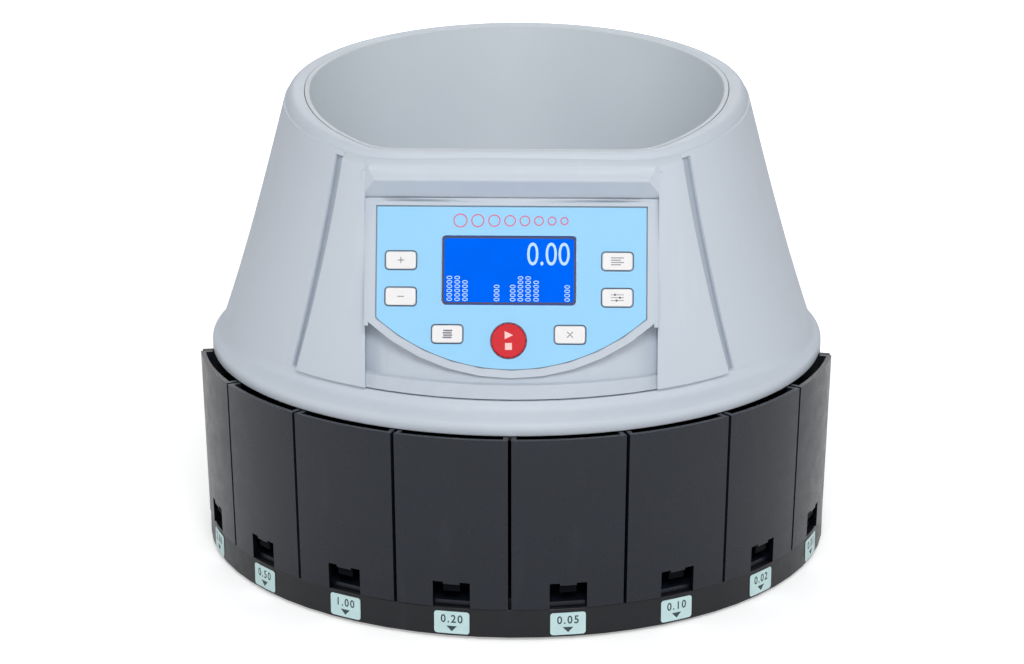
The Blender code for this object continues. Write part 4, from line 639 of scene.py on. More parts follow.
def rim_height(station, radius):
    """Height of the tilted rim's plane at a place."""
    return RIM_HEIGHT - radius * cos(station) * tan(RIM_TILT)


def rim_outer(station):
    return outline_radius(station, RIM_SIDE_RADIUS, RIM_FRONT_REACH, RIM_FRONT_CHORD, RIM_CORNER_BLEND)


def bowl_inner(station):
    return outline_radius(station, BOWL_SIDE_RADIUS, BOWL_FRONT_REACH, BOWL_FRONT_CHORD, BOWL_CORNER_BLEND)


def lip_radius(station):
    return bowl_inner(station) + BOWL_LIP


def rim_fillet(station):
    ahead = max(cos(station), 0.0) ** 2
    return RIM_SIDE_FILLET + (RIM_FRONT_FILLET - RIM_SIDE_FILLET) * ahead


def wall_top(station):
    """Radius and height of the wall's upper end, below the rim's rounding."""
    radius = rim_outer(station)
    return radius, rim_height(station, radius) - rim_fillet(station)


def side_share(station):
    """1 at the machine's sides, where the wall's foot stands wider and lower, and 0 in front and behind."""
    away = abs(station)
    return eased((away - SIDE_START) / SIDE_RISE) * eased((SIDE_END - away) / SIDE_FALL)


def wall_radius(station, height):
    """Radius of the ruled wall, without the apron, the groove and the brow."""
    top_radius, top = wall_top(station)
    share = (height - CONE_FOOT_HEIGHT) / (top - CONE_FOOT_HEIGHT)
    low = min(max(1 - share, 0.0), 1.0)
    flare = SIDE_FLARE * side_share(station) * low ** 3
    return CONE_FOOT_RADIUS + (top_radius - CONE_FOOT_RADIUS) * share + flare


def flat_back_top():
    """The height at which the wall meets the flat back."""
    top_radius, top = wall_top(pi)
    share = (CONE_FOOT_RADIUS - REAR_FLAT) / (CONE_FOOT_RADIUS - top_radius)
    return CONE_FOOT_HEIGHT + (top - CONE_FOOT_HEIGHT) * share


def held_back(station, radius, flat):
    """A radius, cut short where the flat back stands."""
    behind = -cos(station)
    return min(radius, flat / behind) if behind > 0 else radius


def eased(value):
    """A share of 0 to 1 that starts and ends gently."""
    share = min(max(value, 0.0), 1.0)
    return share * share * (3 - 2 * share)


def foot_share(line, height):
    """0 at the top of the housing's wall, 1 at its foot."""
    top = wall_top(line)[1]
    return 1 - min(max((height - CONE_FOOT_HEIGHT) / (top - CONE_FOOT_HEIGHT), 0.0), 1.0)


def swung(line, height):
    """The station of one of the wall's lines at a height. Those near the apron spread towards the foot."""
    away = abs(line)
    if away < APRON_STATION:
        share = eased(away / APRON_STATION)
    else:
        share = max(1 - (away - APRON_STATION) / APRON_SWING_SPAN, 0.0)
    return line + copysign(APRON_SWING * share * foot_share(line, height) ** APRON_SWING_POWER, line)


def apron_share(line, height):
    """How far the apron stands raised at a place: 0 outside its bevelled outline, 1 inside."""
    edge = APRON_TURN * wall_radius(line, height)
    aside = (APRON_STATION - abs(line)) * wall_radius(line, height) + edge
    above = (height - CONE_FOOT_HEIGHT) * edge / APRON_FOOT
    if aside < APRON_CORNER and above < APRON_CORNER:
        inside = APRON_CORNER - hypot(APRON_CORNER - aside, APRON_CORNER - above)
    else:
        inside = min(aside, above)
    share = min(max(inside / (2 * edge), 0.0), 1.0)
    return share * (1 - APRON_SOFTNESS) + eased(share) * APRON_SOFTNESS


def groove_share(line, height):
    """How deep the groove beside the apron is at a place, as a share of its depth."""
    beyond = abs(line) - APRON_STATION
    across = min(beyond / APRON_TURN, (GROOVE_SPAN - beyond) / GROOVE_TURN)
    along = min(height - CONE_FOOT_HEIGHT, wall_top(line)[1] - GROOVE_HEAD - height) / GROOVE_END
    return min(max(min(across, along), 0.0), 1.0)


def outer_radius(station, height, line=None):
    """Radius of the housing's outer wall with the apron, the groove beside it and the flat brow."""
    line = station if line is None else line
    top = wall_top(station)[1]
    fade = top - BROW_FADE
    radius = wall_radius(station, height) - GROOVE_DEPTH * groove_share(line, height)
    radius += APRON_RAISE * apron_share(line, height) * min(max((top - height) / APRON_FADE, 0.0), 1.0)
    if abs(line) < APRON_STATION:
        spare = max(wall_radius(station, fade) + APRON_RAISE - BROW_CHORD / cos(station), 0.0)
        start = flat_back_top()
        rising = (height - start) / (fade - start) if height < fade else min((top - height) / BROW_FADE, 1.0)
        radius -= spare * max(rising, 0.0)
    return radius


def wall_depth(x, height):
    """How far before the axis the housing's outer wall stands at a place across it."""
    radius = CONE_FOOT_RADIUS
    for _ in range(DEPTH_TRIES):
        station = asin(x / radius)
        radius = outer_radius(station, height)
    return sqrt(radius ** 2 - x ** 2)


def spline(points, steps):
    """A smooth line through points, with a number of steps between each two."""
    line = []
    count = len(points)
    for i in range(count - 1):
        near = [points[min(max(j, 0), count - 1)] for j in range(i - 1, i + 3)]
        for step in range(steps):
            t = step / steps
            place = []
            for a, b, c, d in zip(*near):
                square, cube = 2 * a - 5 * b + 4 * c - d, 3 * b - a - 3 * c + d
                place.append(0.5 * (2 * b + (c - a) * t + square * t * t + cube * t ** 3))
            line.append(tuple(place))
    line.append(points[-1])
    return line


def housing_section(line, row_shares):
    """The closed section of the housing along one of its lines."""
    top_radius, top = wall_top(line)
    fillet = rim_fillet(line)
    flat_end = flat_back_top()
    flat_inside = REAR_FLAT - SKIRT_WALL
    section = [(SKIRT_RADIUS - SKIRT_EDGE, HOUSING_BOTTOM)]
    for step in range(1, 4):
        turn = pi / 2 * step / 3
        radius = SKIRT_RADIUS - SKIRT_EDGE * (1 - sin(turn))
        section.append((radius, HOUSING_BOTTOM + SKIRT_EDGE * (1 - cos(turn))))
    skirt_step = CONE_FOOT_HEIGHT - HOUSING_BOTTOM - SKIRT_STRAIGHT
    aside = side_share(line)
    foot_radius = CONE_FOOT_RADIUS + SIDE_FLARE * aside
    shoulder = zip(spline(SKIRT_ROUND_SHARES, ROUND_STEPS), spline(SIDE_ROUND_SHARES, ROUND_STEPS))
    for (share, rise), (side_width, side_rise) in shoulder:
        share += (side_width - share) * aside
        rise += (side_rise - rise) * aside
        radius = foot_radius + (SKIRT_RADIUS - foot_radius) * share
        section.append((radius, HOUSING_BOTTOM + SKIRT_STRAIGHT + skirt_step * rise))
    for row in row_shares:
        height = CONE_FOOT_HEIGHT + row * (top - CONE_FOOT_HEIGHT)
        section.append((outer_radius(swung(line, height), height, line), height))
    section.append((top_radius - RIM_STEP / 2, top + RIM_STEP / 6))
    rim_edge = top_radius - fillet
    rim_end = rim_height(line, rim_edge)
    slope = (top_radius - CONE_FOOT_RADIUS) / (top - CONE_FOOT_HEIGHT)
    fall = cos(line) * tan(RIM_TILT)
    peak = (RIM_HEIGHT - top_radius * fall + slope * fall * top) / (1 + slope * fall)
    peak_radius = top_radius + slope * (peak - top) - RIM_STEP
    radii, heights = (top_radius - RIM_STEP, peak_radius, rim_edge), (top + RIM_STEP / 2, peak, rim_end)
    for step in range(RIM_STEPS):
        t = step / RIM_STEPS
        weights = ((1 - t) ** 2, 2 * t * (1 - t), t * t)
        place = (sum(w * value for w, value in zip(weights, values)) for values in (radii, heights))
        section.append(tuple(place))
    lip = lip_radius(line)
    lip_top = rim_height(line, lip)
    section += [
        (rim_edge, rim_end),
        (lip + RIM_LIP_EASE, rim_height(line, lip + RIM_LIP_EASE)),
        (lip + RIM_LIP_EASE * 0.3, lip_top - RIM_LIP_EASE * 0.3),
        (lip, lip_top - RIM_LIP_EASE),
        (lip, lip_top - LIP_DEPTH),
    ]
    section = [(held_back(line, radius, REAR_FLAT), height) for radius, height in section]
    shoulder_inside = held_back(line, SHOULDER_INNER_RADIUS, flat_inside - LIP_DEPTH)
    skirt_inside = held_back(line, SKIRT_RADIUS - SKIRT_WALL, flat_inside)
    section += [
        (max(top_radius - HOUSING_WALL, lip + SEAT_GAP), top - LIP_DEPTH),
        (held_back(line, wall_radius(line, flat_end) - HOUSING_WALL, flat_inside), flat_end),
        (shoulder_inside, CONE_FOOT_HEIGHT - LIP_DEPTH),
        (shoulder_inside, SKIRT_SHOULDER),
        (skirt_inside, SKIRT_SHOULDER),
        (skirt_inside, HOUSING_BOTTOM),
    ]
    return [around(swung(line, height), radius, height) for radius, height in section]


def housing_lines():
    """The stations of the wall's lines at its top: close together at the apron's edge and the groove's."""
    steps = range(-180, 180, PLAIN_LINES_PITCH)
    plain = [float(step) for step in steps if abs(abs(step) - APRON_LINES_MIDDLE) > APRON_LINES_REACH]
    dense = [side * value for side in (-1, 1) for value in APRON_LINES]
    corner = acos(-REAR_FLAT / SKIRT_RADIUS)
    return sorted([radians(value) for value in plain + dense] + [corner, -corner])


def panel_point(v, n):
    """A place on the panel's middle line as y and z."""
    y = AXIS_Y - PANEL_FOOT + v * sin(PANEL_LEAN) - n * cos(PANEL_LEAN)
    return y, CONE_FOOT_HEIGHT + v * cos(PANEL_LEAN) + n * sin(PANEL_LEAN)


def nose_depths(x):
    """The brow's nose at a place across it, as depths before the axis and heights, from the rim down."""
    line = [(wall_depth(x, BROW_HEIGHT + rise) + stand, BROW_HEIGHT + rise) for stand, rise in BROW_NOSE_TOP]
    line += [(BROW_CHORD + stand, BROW_HEIGHT + rise) for stand, rise in BROW_NOSE_EDGE + BROW_NOSE_UNDER]
    return spline(line, BROW_STEPS)


def brow_piece():
    """The brow's nose, whose ends slope back to the apron as hips."""
    half = OPENING_HALF_WIDTH
    inner = half - BROW_HIP
    full = nose_depths(inner)
    flat = [(min(depth, wall_depth(half, height) + BROW_PROUD), height) for depth, height in full]
    stands = [depth - low for (depth, _), (low, _) in zip(full, flat)]
    slopes = [half - BROW_HIP * (BROW_HIP_START + BROW_HIP_SPAN * stand / max(stands)) for stand in stands]
    rows = [([half] * len(flat), flat), (slopes, full)]
    rows += [([x] * len(flat), nose_depths(x)) for x in (inner - BROW_HIP * row for row in BROW_HIP_ROWS)]
    sections = []
    for side in (1, -1):
        for across, line in rows if side > 0 else rows[::-1]:
            section = [(side * x, AXIS_Y - depth, height) for x, (depth, height) in zip(across, line)]
            back = AXIS_Y - min(depth for depth, _ in line) + BROW_BACK
            section += [(side * across[-1], back, line[-1][1]), (side * across[0], back, line[0][1])]
            sections.append(section)
    return loft("brow", sections, grey, closed=False)


def section_bar(name, corners, half):
    """A bar across the machine through corners of y and z."""
    return loft(name, [[(x, y, z) for y, z in corners] for x in (-half, half)], grey, closed=False)


def soften_opening(target, half):
    """Rounds the upright edges at the sides of the panel's opening, below the brow."""
    shape = bmesh.new()
    shape.from_mesh(target.data)
    bmesh.ops.remove_doubles(shape, verts=shape.verts, dist=SEAM_REACH)
    low, high = CONE_FOOT_HEIGHT + OPENING_EDGE_FOOT, BROW_HEIGHT + BROW_NOSE_UNDER[-1][1]
    chosen = []
    for edge in shape.edges:
        if len(edge.link_faces) != 2 or edge.calc_face_angle(0.0) < OPENING_EDGE_ANGLE:
            continue
        a, b = (vertex.co for vertex in edge.verts)
        middle = (a + b) / 2
        outside = middle.y < AXIS_Y - wall_depth(half, min(middle.z, OPENING_TOP)) + OPENING_EDGE_DEPTH
        aside = max(abs(abs(a.x) - half), abs(abs(b.x) - half)) < OPENING_EDGE_REACH
        if outside and aside and low < middle.z < high:
            chosen.append(edge)
    bmesh.ops.bevel(shape, geom=chosen, offset=OPENING_EDGE, offset_type="OFFSET", segments=3, profile=0.5,
                    affect="EDGES", clamp_overlap=True)
    shape.to_mesh(target.data)
    shape.free()
    shade(target.data)


def paint_groove_shade(target):
    """Gives the floor of the groove beside the apron a darker grey: painted shade."""
    target.data.materials.append(groove_shade_paint)
    least, most = (GROOVE_DEPTH * share for share in GROOVE_FLOOR_SHARES)
    for face in target.data.polygons:
        x, y, height = face.center
        station = abs(atan2(x, AXIS_Y - y))
        beside = APRON_STATION < station < APRON_STATION + APRON_SWING + GROOVE_SPAN
        if beside and CONE_FOOT_HEIGHT < height < wall_top(station)[1] - GROOVE_HEAD:
            sunk = wall_radius(station, height) - hypot(x, AXIS_Y - y)
            if least < sunk < most:
                face.material_index = 1


def housing_piece():
    """The housing with its bevelled apron, its brow and the panel's opening."""
    middle = [FOOT_ROWS[-1] + MIDDLE_ROWS_SPAN * step / MIDDLE_ROWS for step in range(1, MIDDLE_ROWS + 1)]
    rows = [*FOOT_ROWS, *middle, *TOP_ROWS]
    housing = loft("housing_shell", [housing_section(line, rows) for line in housing_lines()], grey)
    half = OPENING_HALF_WIDTH
    head_y, head_z = panel_point(OVERLAY_TOP + BEZEL_BAND, 0.0)
    front = AXIS_Y + OVERRUN - BROW_CHORD
    deep = max(head_y + OVERRUN, front + LINTEL_DEPTH)
    low, high = head_z - OVERRUN, BROW_HEIGHT + APRON_RAISE
    lintel = bar(front, low, deep, high)
    combine(housing, section_bar("lintel", lintel, half + HOUSING_WALL / 2), "UNION")
    head_y, head_z = panel_point(OVERLAY_TOP + BEZEL_BAND + SEAT_GAP, 0.0)
    far = AXIS_Y - SKIRT_RADIUS - OVERRUN
    inside = AXIS_Y - OPENING_INSIDE
    slope = (BROW_HEIGHT - head_z) / (AXIS_Y - BROW_CHORD - head_y)
    floor = CONE_FOOT_HEIGHT - LEDGE_GROOVE
    profile = [
        (far, floor), (inside, floor), (inside, head_z), (head_y, head_z),
        (far, head_z + slope * (far - head_y)),
    ]
    combine(housing, section_bar("opening", profile, half), "DIFFERENCE")
    combine(housing, brow_piece(), "UNION")
    soften_opening(housing, half)
    paint(housing, grey)
    paint_groove_shade(housing)
    return carry(housing, MACHINE, "housing_grey", "upper_housing")


def bowl_piece():
    """The hopper bowl with a slightly hollow wall from the rim to the throat."""
    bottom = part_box("hopper_bowl")[0].z
    sections = []
    for index in range(BOWL_STATIONS):
        station = 2 * pi * index / BOWL_STATIONS
        mouth = bowl_inner(station)
        lip = lip_radius(station) - SEAT_GAP
        rim = rim_height(station, mouth)
        section = [(lip, rim_height(station, lip)), (mouth + BOWL_LIP_EASE, rim)]
        for turn in (pi / 6, pi / 3):
            section.append((mouth + BOWL_LIP_EASE * (1 - sin(turn)), rim - BOWL_LIP_EASE * (1 - cos(turn))))
        start, fall = rim - BOWL_LIP_EASE, rim - BOWL_LIP_EASE - bottom
        for row in range(BOWL_ROWS + 1):
            share = row / BOWL_ROWS
            radius = mouth + (THROAT_RADIUS - mouth) * share + BOWL_HOLLOW * sin(pi * share)
            section.append((radius, start - fall * share))
        section += [
            (THROAT_RADIUS + BOWL_WALL, bottom),
            ((mouth + THROAT_RADIUS) / 2 + BOWL_HOLLOW + BOWL_WALL, start - fall / 2),
            (mouth + BOWL_WALL - SEAT_GAP, rim - 2 * BOWL_WALL),
            (lip, rim - BOWL_WALL),
        ]
        sections.append([around(station, radius, height) for radius, height in section])
    return carry(loft("hopper_skin", sections, bowl_grey), MACHINE, "housing_grey", "hopper_bowl")


housing_piece()
bowl_piece()
softened("panel_bezel", bezel_grey, "housing_grey", BEZEL_EDGE)
softened("base_ring", base_charcoal, "drawer_charcoal", RING_EDGE)
for drawer_number in range(1, DRAWER_COUNT + 1):
    drawer_name = f"coin_drawer_{drawer_number}"
    smooth_front(softened(drawer_name, charcoal, "drawer_charcoal", DRAWER_EDGE, DRAWER_LEVEL_SHARE))
softened("rear_cover", black, "cover_black", COVER_EDGE)


def laid(piece, matrix):
    """Moves a flat piece's mesh from its own plane into the machine."""
    piece.data.transform(matrix)
    return piece


def text_mesh(name, body, size, surface, stretch=1.0, align="CENTER", spacing=1.0, weight=0.0):
    """Plain numerals as a thin plate around its own middle."""
    curve = bpy.data.curves.new(name, "FONT")
    curve.body = body
    curve.size = size
    curve.align_x = align
    curve.align_y = "CENTER"
    curve.space_character = spacing
    curve.offset = weight
    curve.extrude = PRINT_THICKNESS / 2
    curve.resolution_u = 4
    holder = added(name, curve)
    mesh = evaluated(holder)
    bpy.data.objects.remove(holder)
    mesh.transform(Matrix.Diagonal((stretch, 1.0, 1.0, 1.0)))
    return paint(added(name, mesh), surface)


def wrapped(piece, station, radius, height):
    """Bends a flat piece round the machine: x runs round, y up and z outwards."""
    for vertex in piece.data.vertices:
        x, y, z = vertex.co
        vertex.co = around(station + x / radius, radius + z, height + y)
    return piece


def sliced(piece, step):
    """Adds cuts across x, so that the piece bends evenly."""
    shape = bmesh.new()
    shape.from_mesh(piece.data)
    xs = [vertex.co.x for vertex in shape.verts]
    place = min(xs) + step
    while place < max(xs):
        geometry = shape.verts[:] + shape.edges[:] + shape.faces[:]
        bmesh.ops.bisect_plane(shape, geom=geometry, plane_co=(place, 0, 0), plane_no=(1, 0, 0))
        place += step
    shape.to_mesh(piece.data)
    shape.free()
    return piece


def panel_outline(margin, steps=40):
    """The overlay's outline, grown by a margin: straight top and sides over a shallow arc."""
    sag = OVERLAY_SIDE_BOTTOM - OVERLAY_BOTTOM
    radius = (OVERLAY_HALF_WIDTH ** 2 + sag ** 2) / (2 * sag)
    centre = OVERLAY_BOTTOM + radius
    half, radius = OVERLAY_HALF_WIDTH + margin, radius + margin
    reach = asin(half / radius)
    outline = [(half, OVERLAY_TOP + margin), (-half, OVERLAY_TOP + margin)]
    for step in range(steps + 1):
        turn = reach * (2 * step / steps - 1)
        outline.append((radius * sin(turn), centre - radius * cos(turn)))
    return outline


def panel_trim():
    """The strip that closes the gap round the panel's plate, and the thin line round the blue film."""
    half, top = OPENING_HALF_WIDTH - STRIP_GAP, OVERLAY_TOP + BEZEL_BAND
    inside = OVERLAY_HALF_WIDTH + BEZEL_BAND - SEAT_GAP
    low, high = OVERLAY_SIDE_BOTTOM - BEZEL_BAND, top + STRIP_RISE
    strip = [(-half, low), (-half, high), (half, high), (half, low), (inside, low), (inside, top - SEAT_GAP)]
    strip += [(-inside, top - SEAT_GAP), (-inside, low)]
    made = plate("panel_strip", strip, -STRIP_DEPTH, -STRIP_SINK, bezel_grey)
    carry(laid(made, PANEL), MACHINE, "housing_grey")
    edges = panel_outline(-SEAT_GAP - OVERLAY_LINE), panel_outline(-SEAT_GAP)
    line = printed("overlay_line", *edges, OVERLAY_FACE, film_edge_colour)
    carry(laid(line, PANEL), MACHINE, "overlay_blue")


def cover_lips():
    """The rear cover's thin lips, which close the gap between the skirt and the fronts of the end drawers."""
    edge = DRAWER_PITCH * DRAWER_COUNT / 2
    low, high = (corner.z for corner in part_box("coin_drawer_1"))
    rows = ((low + SEAT_GAP, LIP_LOW_RADIUS), (high - SEAT_GAP, LIP_HIGH_RADIUS))
    for name, side in (("left", -1), ("right", 1)):
        seam, behind = direction(side * edge), direction(side * (edge + pi / 2))
        sections = []
        for height, reach in rows:
            corners = ((LIP_ROOT, LIP_NEAR), (reach, LIP_NEAR), (reach, LIP_FAR), (LIP_ROOT, LIP_FAR))
            axis = Vector((0.0, AXIS_Y, height))
            sections.append([seam * along + behind * away + axis for along, away in corners])
        carry(loft(f"cover_lip_{name}", sections, black, closed=False), MACHINE, "cover_black")


def drawer_labels():
    """The pale labels with plain values on the base ring, one below each drawer."""
    half, reach = ARROW_WIDTH / 2, ARROW_HEIGHT / 2
    face = BASE_RADIUS + LABEL_SEAT
    for number, value in enumerate(LABEL_VALUES, 1):
        station = DRAWER_PITCH * (number - (DRAWER_COUNT + 1) / 2)
        outline = rounded(*LABEL_SIZE, LABEL_CORNER)
        label = plate(f"label_{number}", outline, 0.0, LABEL_THICKNESS, label_stock)
        wrapped(sliced(label, LABEL_SLICE), station, face, LABEL_HEIGHT)
        carry(label, MACHINE, "overlay_blue")
        text = text_mesh(
            f"label_value_{number}", value, VALUE_SIZE, label_ink,
            stretch=VALUE_STRETCH, spacing=VALUE_SPACING, weight=VALUE_WEIGHT,
        )
        wrapped(text, station, face + LABEL_THICKNESS + PRINT_THICKNESS / 2, LABEL_HEIGHT + VALUE_RISE)
        carry(text, MACHINE, "cover_black")
        corners = [(-half, reach), (0.0, -reach), (half, reach)]
        arrow = plate(f"label_arrow_{number}", corners, 0.0, PRINT_THICKNESS, label_ink)
        wrapped(arrow, station, face + LABEL_THICKNESS, LABEL_HEIGHT - ARROW_DROP)
        carry(arrow, MACHINE, "cover_black")


def on_panel(u, v, n=0.0):
    """The frame of a place on the panel."""
    return PANEL @ Matrix.Translation((u, v, n))


def printed(name, inner, outer, face, surface):
    """A thin printed line between two outlines of equal point counts."""
    top = face + PRINT_THICKNESS
    rings = ((inner, face), (outer, face), (outer, top), (inner, top))
    return loft(name, [[(x, y, height) for x, y in outline] for outline, height in rings], surface)


def key_ring(name, u, v):
    """The printed line round a key."""
    inner, outer = KEY_GAP, KEY_GAP + KEY_LINE
    if name == "key_start":
        rings = [circle(START_KEY_RADIUS + margin) for margin in (inner, outer)]
        surface = start_ink
    else:
        rings = [rounded(KEY_SIZE[0] + 2 * m, KEY_SIZE[1] + 2 * m, KEY_CORNER + m) for m in (inner, outer)]
        surface = outline_ink
    ring = printed(name + "_line", *rings, OVERLAY_FACE, surface)
    carry(laid(ring, on_panel(u, v)), MACHINE, "overlay_blue")


def thick_line(start, end, width):
    """The outline of a straight stroke between two points."""
    start, end = Vector(start), Vector(end)
    along = end - start
    side = Vector((-along.y, along.x)).normalized() * width / 2
    return [tuple(corner) for corner in (start - side, end - side, end + side, start + side)]


def legend(name, outlines, surface):
    """Printed marks on a key's face, which ride with the key."""
    u, v = KEYS[name]
    slot_name = "start_red" if name == "key_start" else "key_white"
    for number, outline in enumerate(outlines, 1):
        mark = plate(f"{name}_mark_{number}", outline, KEY_FACE, KEY_FACE + PRINT_THICKNESS, surface)
        carry(laid(mark, on_panel(u, v)), name + "_body", slot_name)


def key_legends():
    """Plain signs on the keys: plus, minus, a list, sliders, a stack, a cross, and run and stop."""
    w = STROKE
    plus = [
        bar(-PLUS_REACH, -w / 2, PLUS_REACH, w / 2),
        bar(-w / 2, w / 2, w / 2, PLUS_REACH),
        bar(-w / 2, -PLUS_REACH, w / 2, -w / 2),
    ]
    legend("key_plus", plus, legend_ink)
    legend("key_minus", [bar(-MINUS_REACH, -w / 2, MINUS_REACH, w / 2)], legend_ink)
    rows = []
    for i, y in enumerate(LIST_ROWS):
        rows.append(bar(-SIGN_REACH, y - w / 2, SIGN_REACH - LIST_SHORTER * (i % 2), y + w / 2))
    legend("key_report", rows, legend_ink)
    sliders = []
    for y, knob in SLIDERS:
        sliders += [bar(-SIGN_REACH, y - w / 3, SIGN_REACH, y + w / 3), circle(KNOB_RADIUS, 16, (knob, y))]
    legend("key_set", sliders, legend_ink)
    stack = []
    for i in range(STACK_COUNT):
        place = (STACK_SHIFT * (i % 2), STACK_START + STACK_PITCH * i)
        stack.append(rounded(*STACK_SIZE, STACK_CORNER, 3, place))
    legend("key_batch", stack, legend_ink)
    reach, gap = CROSS_REACH, w * CROSS_GAP_SHARE
    cross = [
        thick_line((-reach, -reach), (reach, reach), w),
        thick_line((-reach, reach), (-gap, gap), w),
        thick_line((gap, -gap), (reach, -reach), w),
    ]
    legend("key_clear", cross, legend_ink)
    legend("key_start", [RUN_SIGN, bar(*STOP_SIGN)], pale_ink)


def title_marks():
    """A row of plain coin rings, falling in size, above the screen."""
    place = TITLE_START
    for index in range(DRAWER_COUNT):
        radius = TITLE_RADIUS - TITLE_FALL * index
        place += radius
        edges = circle(radius - TITLE_LINE), circle(radius)
        ring = printed(f"title_ring_{index + 1}", *edges, OVERLAY_FACE, pink_ink)
        carry(laid(ring, on_panel(place, TITLE_HEIGHT)), MACHINE, "overlay_blue")
        place += radius + TITLE_GAP


def display_numbers():
    """The display's numerals: a large sum and small counts, with a dark line round the screen."""
    outer = rounded(SCREEN_SIZE[0] - SCREEN_GAP, SCREEN_SIZE[1] - SCREEN_GAP, SCREEN_CORNER)
    inside = (side - 2 * SCREEN_LINE for side in SCREEN_SIZE)
    inner = rounded(*inside, SCREEN_CORNER - SCREEN_LINE / 2)
    edge = printed("screen_line", inner, outer, SCREEN_FACE, edge_ink)
    carry(laid(edge, on_panel(KEY_SHIFT, SCREEN_CENTRE)), MACHINE, "screen_blue")
    level = SCREEN_FACE + PRINT_THICKNESS / 2
    total = text_mesh("display_total", "0.00", TOTAL_SIZE, digits, stretch=TOTAL_STRETCH, align="RIGHT")
    carry(laid(total, on_panel(*TOTAL_PLACE, level)), MACHINE, "screen_blue")
    for number, (u, body) in enumerate(COUNTS, 1):
        name = f"display_count_{number}"
        count = text_mesh(name, body, COUNT_SIZE, digits, align="RIGHT", spacing=COUNT_SPACING)
        turned = on_panel(u, COUNT_FOOT, level) @ Matrix.Rotation(-pi / 2, 4, "Z")
        carry(laid(count, turned), MACHINE, "screen_blue")


panel_trim()
cover_lips()
drawer_labels()
for key_name, (key_u, key_v) in KEYS.items():
    key_ring(key_name, key_u, key_v)
key_legends()
title_marks()
display_numbers()

# Finishes of the CAD nodes that stay
finishes = {
    "panel_overlay": film, "lcd_window": screen, "key_start": red, "lcd_module": steel, "sorting_deck": steel,
    "motor_bracket": steel, "coin_rail": rail_white, "sorting_rotor": rail_white, "rotor_cap": rail_white,
    "bearing_housing": brass, "drive_belt": rubber, "keypad_board": board_green, "main_board": board_green,
    "power_supply": board_green, "spindle": zinc, "motor_shaft": zinc, "drive_motor": zinc,
    "base_tray": base_charcoal, "chamber_cover": bowl_grey,
}
for name, node in frame["nodes"].items():
    if name in finishes:
        paint(node, finishes[name])
    elif name.startswith("key_"):
        paint(node, white)
    elif name.startswith("foot_"):
        paint(node, rubber)
    elif "_screw_" in name:
        paint(node, zinc)
    elif not name.startswith("coin_drawer_"):
        paint(node, black)


# Camera, floor and light
LENS = 108.98
SENSOR_WIDTH = 36
CAMERA_PLACE = (0.03444, -1.67526, 0.65133)
CAMERA_TURN = (radians(90 - 17.61), 0.0, 0.022)
FLOOR_REACH = 6
FLOOR_COLOUR = (238, 239, 240)
FLOOR_LIFT = (0.42, 1.0, 0.35, 1.6)
GLOSS_SHARE = 0.3
WORLD_LIGHT = 0.10
LAMPS = (
    ("front_high", (0.1, -1.8, 1.5), (0.9, 0.7), 25.5, 0.14),
    ("front_right", (0.8, -1.5, 1.25), (1.2, 1.0), 4.5, 0.14),
    ("front_low", (0.15, -2.2, 0.5), (1.2, 1.0), 2.5, 0.14),
    ("top", (0.0, 0.1, 1.7), (1.4, 1.4), 4.0, 0.1),
    ("back_top", (0.0, 1.4, 1.3), (1.4, 1.4), 11.0, 0.1),
    ("left", (-1.5, -0.3, 0.55), (1.0, 0.9), 6.1, 0.1),
    ("right", (1.5, -0.3, 0.55), (1.0, 0.9), 4.8, 0.1),
)


def camera():
    data = bpy.data.cameras.new("camera")
    data.sensor_width = SENSOR_WIDTH
    data.lens = LENS
    made = added("camera", data)
    made.location = CAMERA_PLACE
    made.rotation_euler = CAMERA_TURN
    bpy.context.scene.camera = made


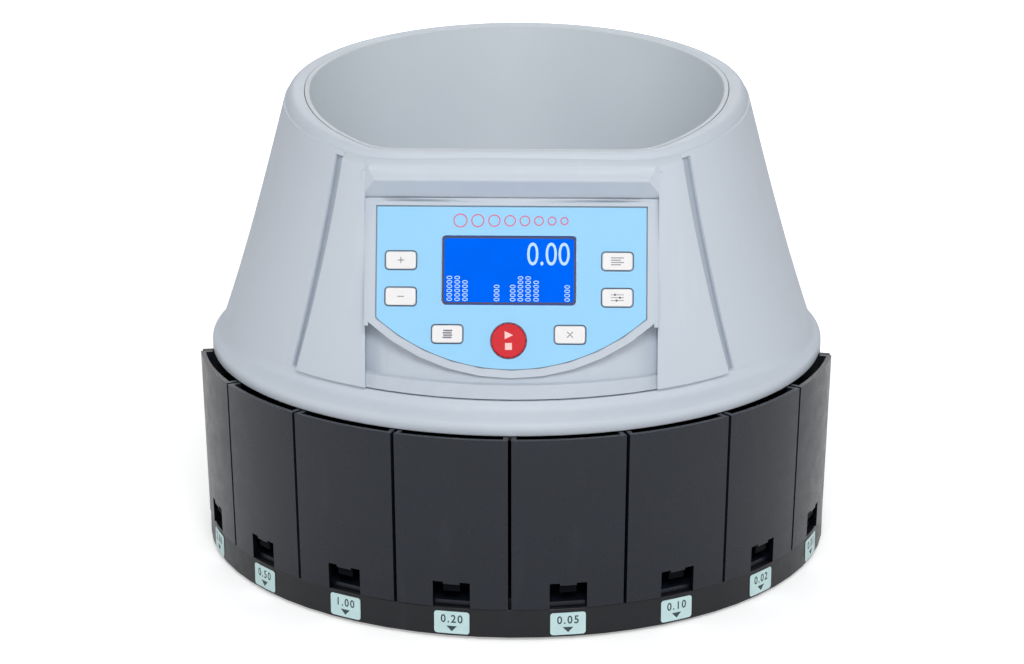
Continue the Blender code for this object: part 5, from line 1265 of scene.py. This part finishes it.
def seen_ray(tree):
    """1 for a ray from the camera or through glass, less for one off gloss, and 0 for light on the object."""
    path = wired(tree, "LightPath", {})
    gloss = wired(tree, "Math", {0: path["Is Glossy Ray"], 1: GLOSS_SHARE}, operation="MULTIPLY")[0]
    seen = wired(tree, "Math", {0: path["Is Camera Ray"], 1: gloss}, operation="MAXIMUM")[0]
    return wired(tree, "Math", {0: seen, 1: path["Is Transmission Ray"]}, operation="MAXIMUM")[0]


def floor():
    """A pale floor, lifted to white where it is seen, more so further out. It keeps the object's shadow."""
    shape = bmesh.new()
    corners = bar(-FLOOR_REACH, -FLOOR_REACH, FLOOR_REACH, FLOOR_REACH)
    shape.faces.new([shape.verts.new((x, y, 0.0)) for x, y in corners])
    surface = bpy.data.materials.new("floor")
    surface.use_nodes = True
    tree = surface.node_tree
    shader = tree.nodes["Principled BSDF"]
    shader.inputs["Roughness"].default_value = 1.0
    shader.inputs["Specular IOR Level"].default_value = 0.0
    shader.inputs["Base Color"].default_value = (*linear(*FLOOR_COLOUR), 1.0)
    shader.inputs["Emission Color"].default_value = (1.0, 1.0, 1.0, 1.0)
    coords = wired(tree, "TexCoord", {})["Object"]
    reach = wired(tree, "VectorMath", {0: coords}, operation="LENGTH")["Value"]
    lift = {0: spread(tree, reach, *FLOOR_LIFT), 1: seen_ray(tree)}
    tree.links.new(wired(tree, "Math", lift, operation="MULTIPLY")[0], shader.inputs["Emission Strength"])
    made = new_piece("floor", shape, surface, smooth=False)
    if made.data.polygons[0].normal.z < 0:
        made.data.flip_normals()


def lamp(name, place, size, energy, aim_height):
    """A rectangular lamp that points at a height above the origin."""
    data = bpy.data.lights.new(name, "AREA")
    data.shape = "RECTANGLE"
    data.size, data.size_y = size
    data.energy = energy
    made = added(name, data)
    made.location = place
    aim = Vector((0.0, 0.0, aim_height)) - Vector(place)
    made.rotation_euler = aim.to_track_quat("-Z", "Y").to_euler()


def world():
    made = bpy.data.worlds.new("studio")
    bpy.context.scene.world = made
    made.use_nodes = True
    tree = made.node_tree
    background = tree.nodes["Background"]
    background.inputs["Color"].default_value = (1.0, 1.0, 1.0, 1.0)
    tree.links.new(spread(tree, seen_ray(tree), WORLD_LIGHT, 1.0, 0.0, 1.0), background.inputs["Strength"])


camera()
floor()
world()
for lamp_settings in LAMPS:
    lamp(*lamp_settings)
bpy.context.scene.view_settings.view_transform = "Standard"
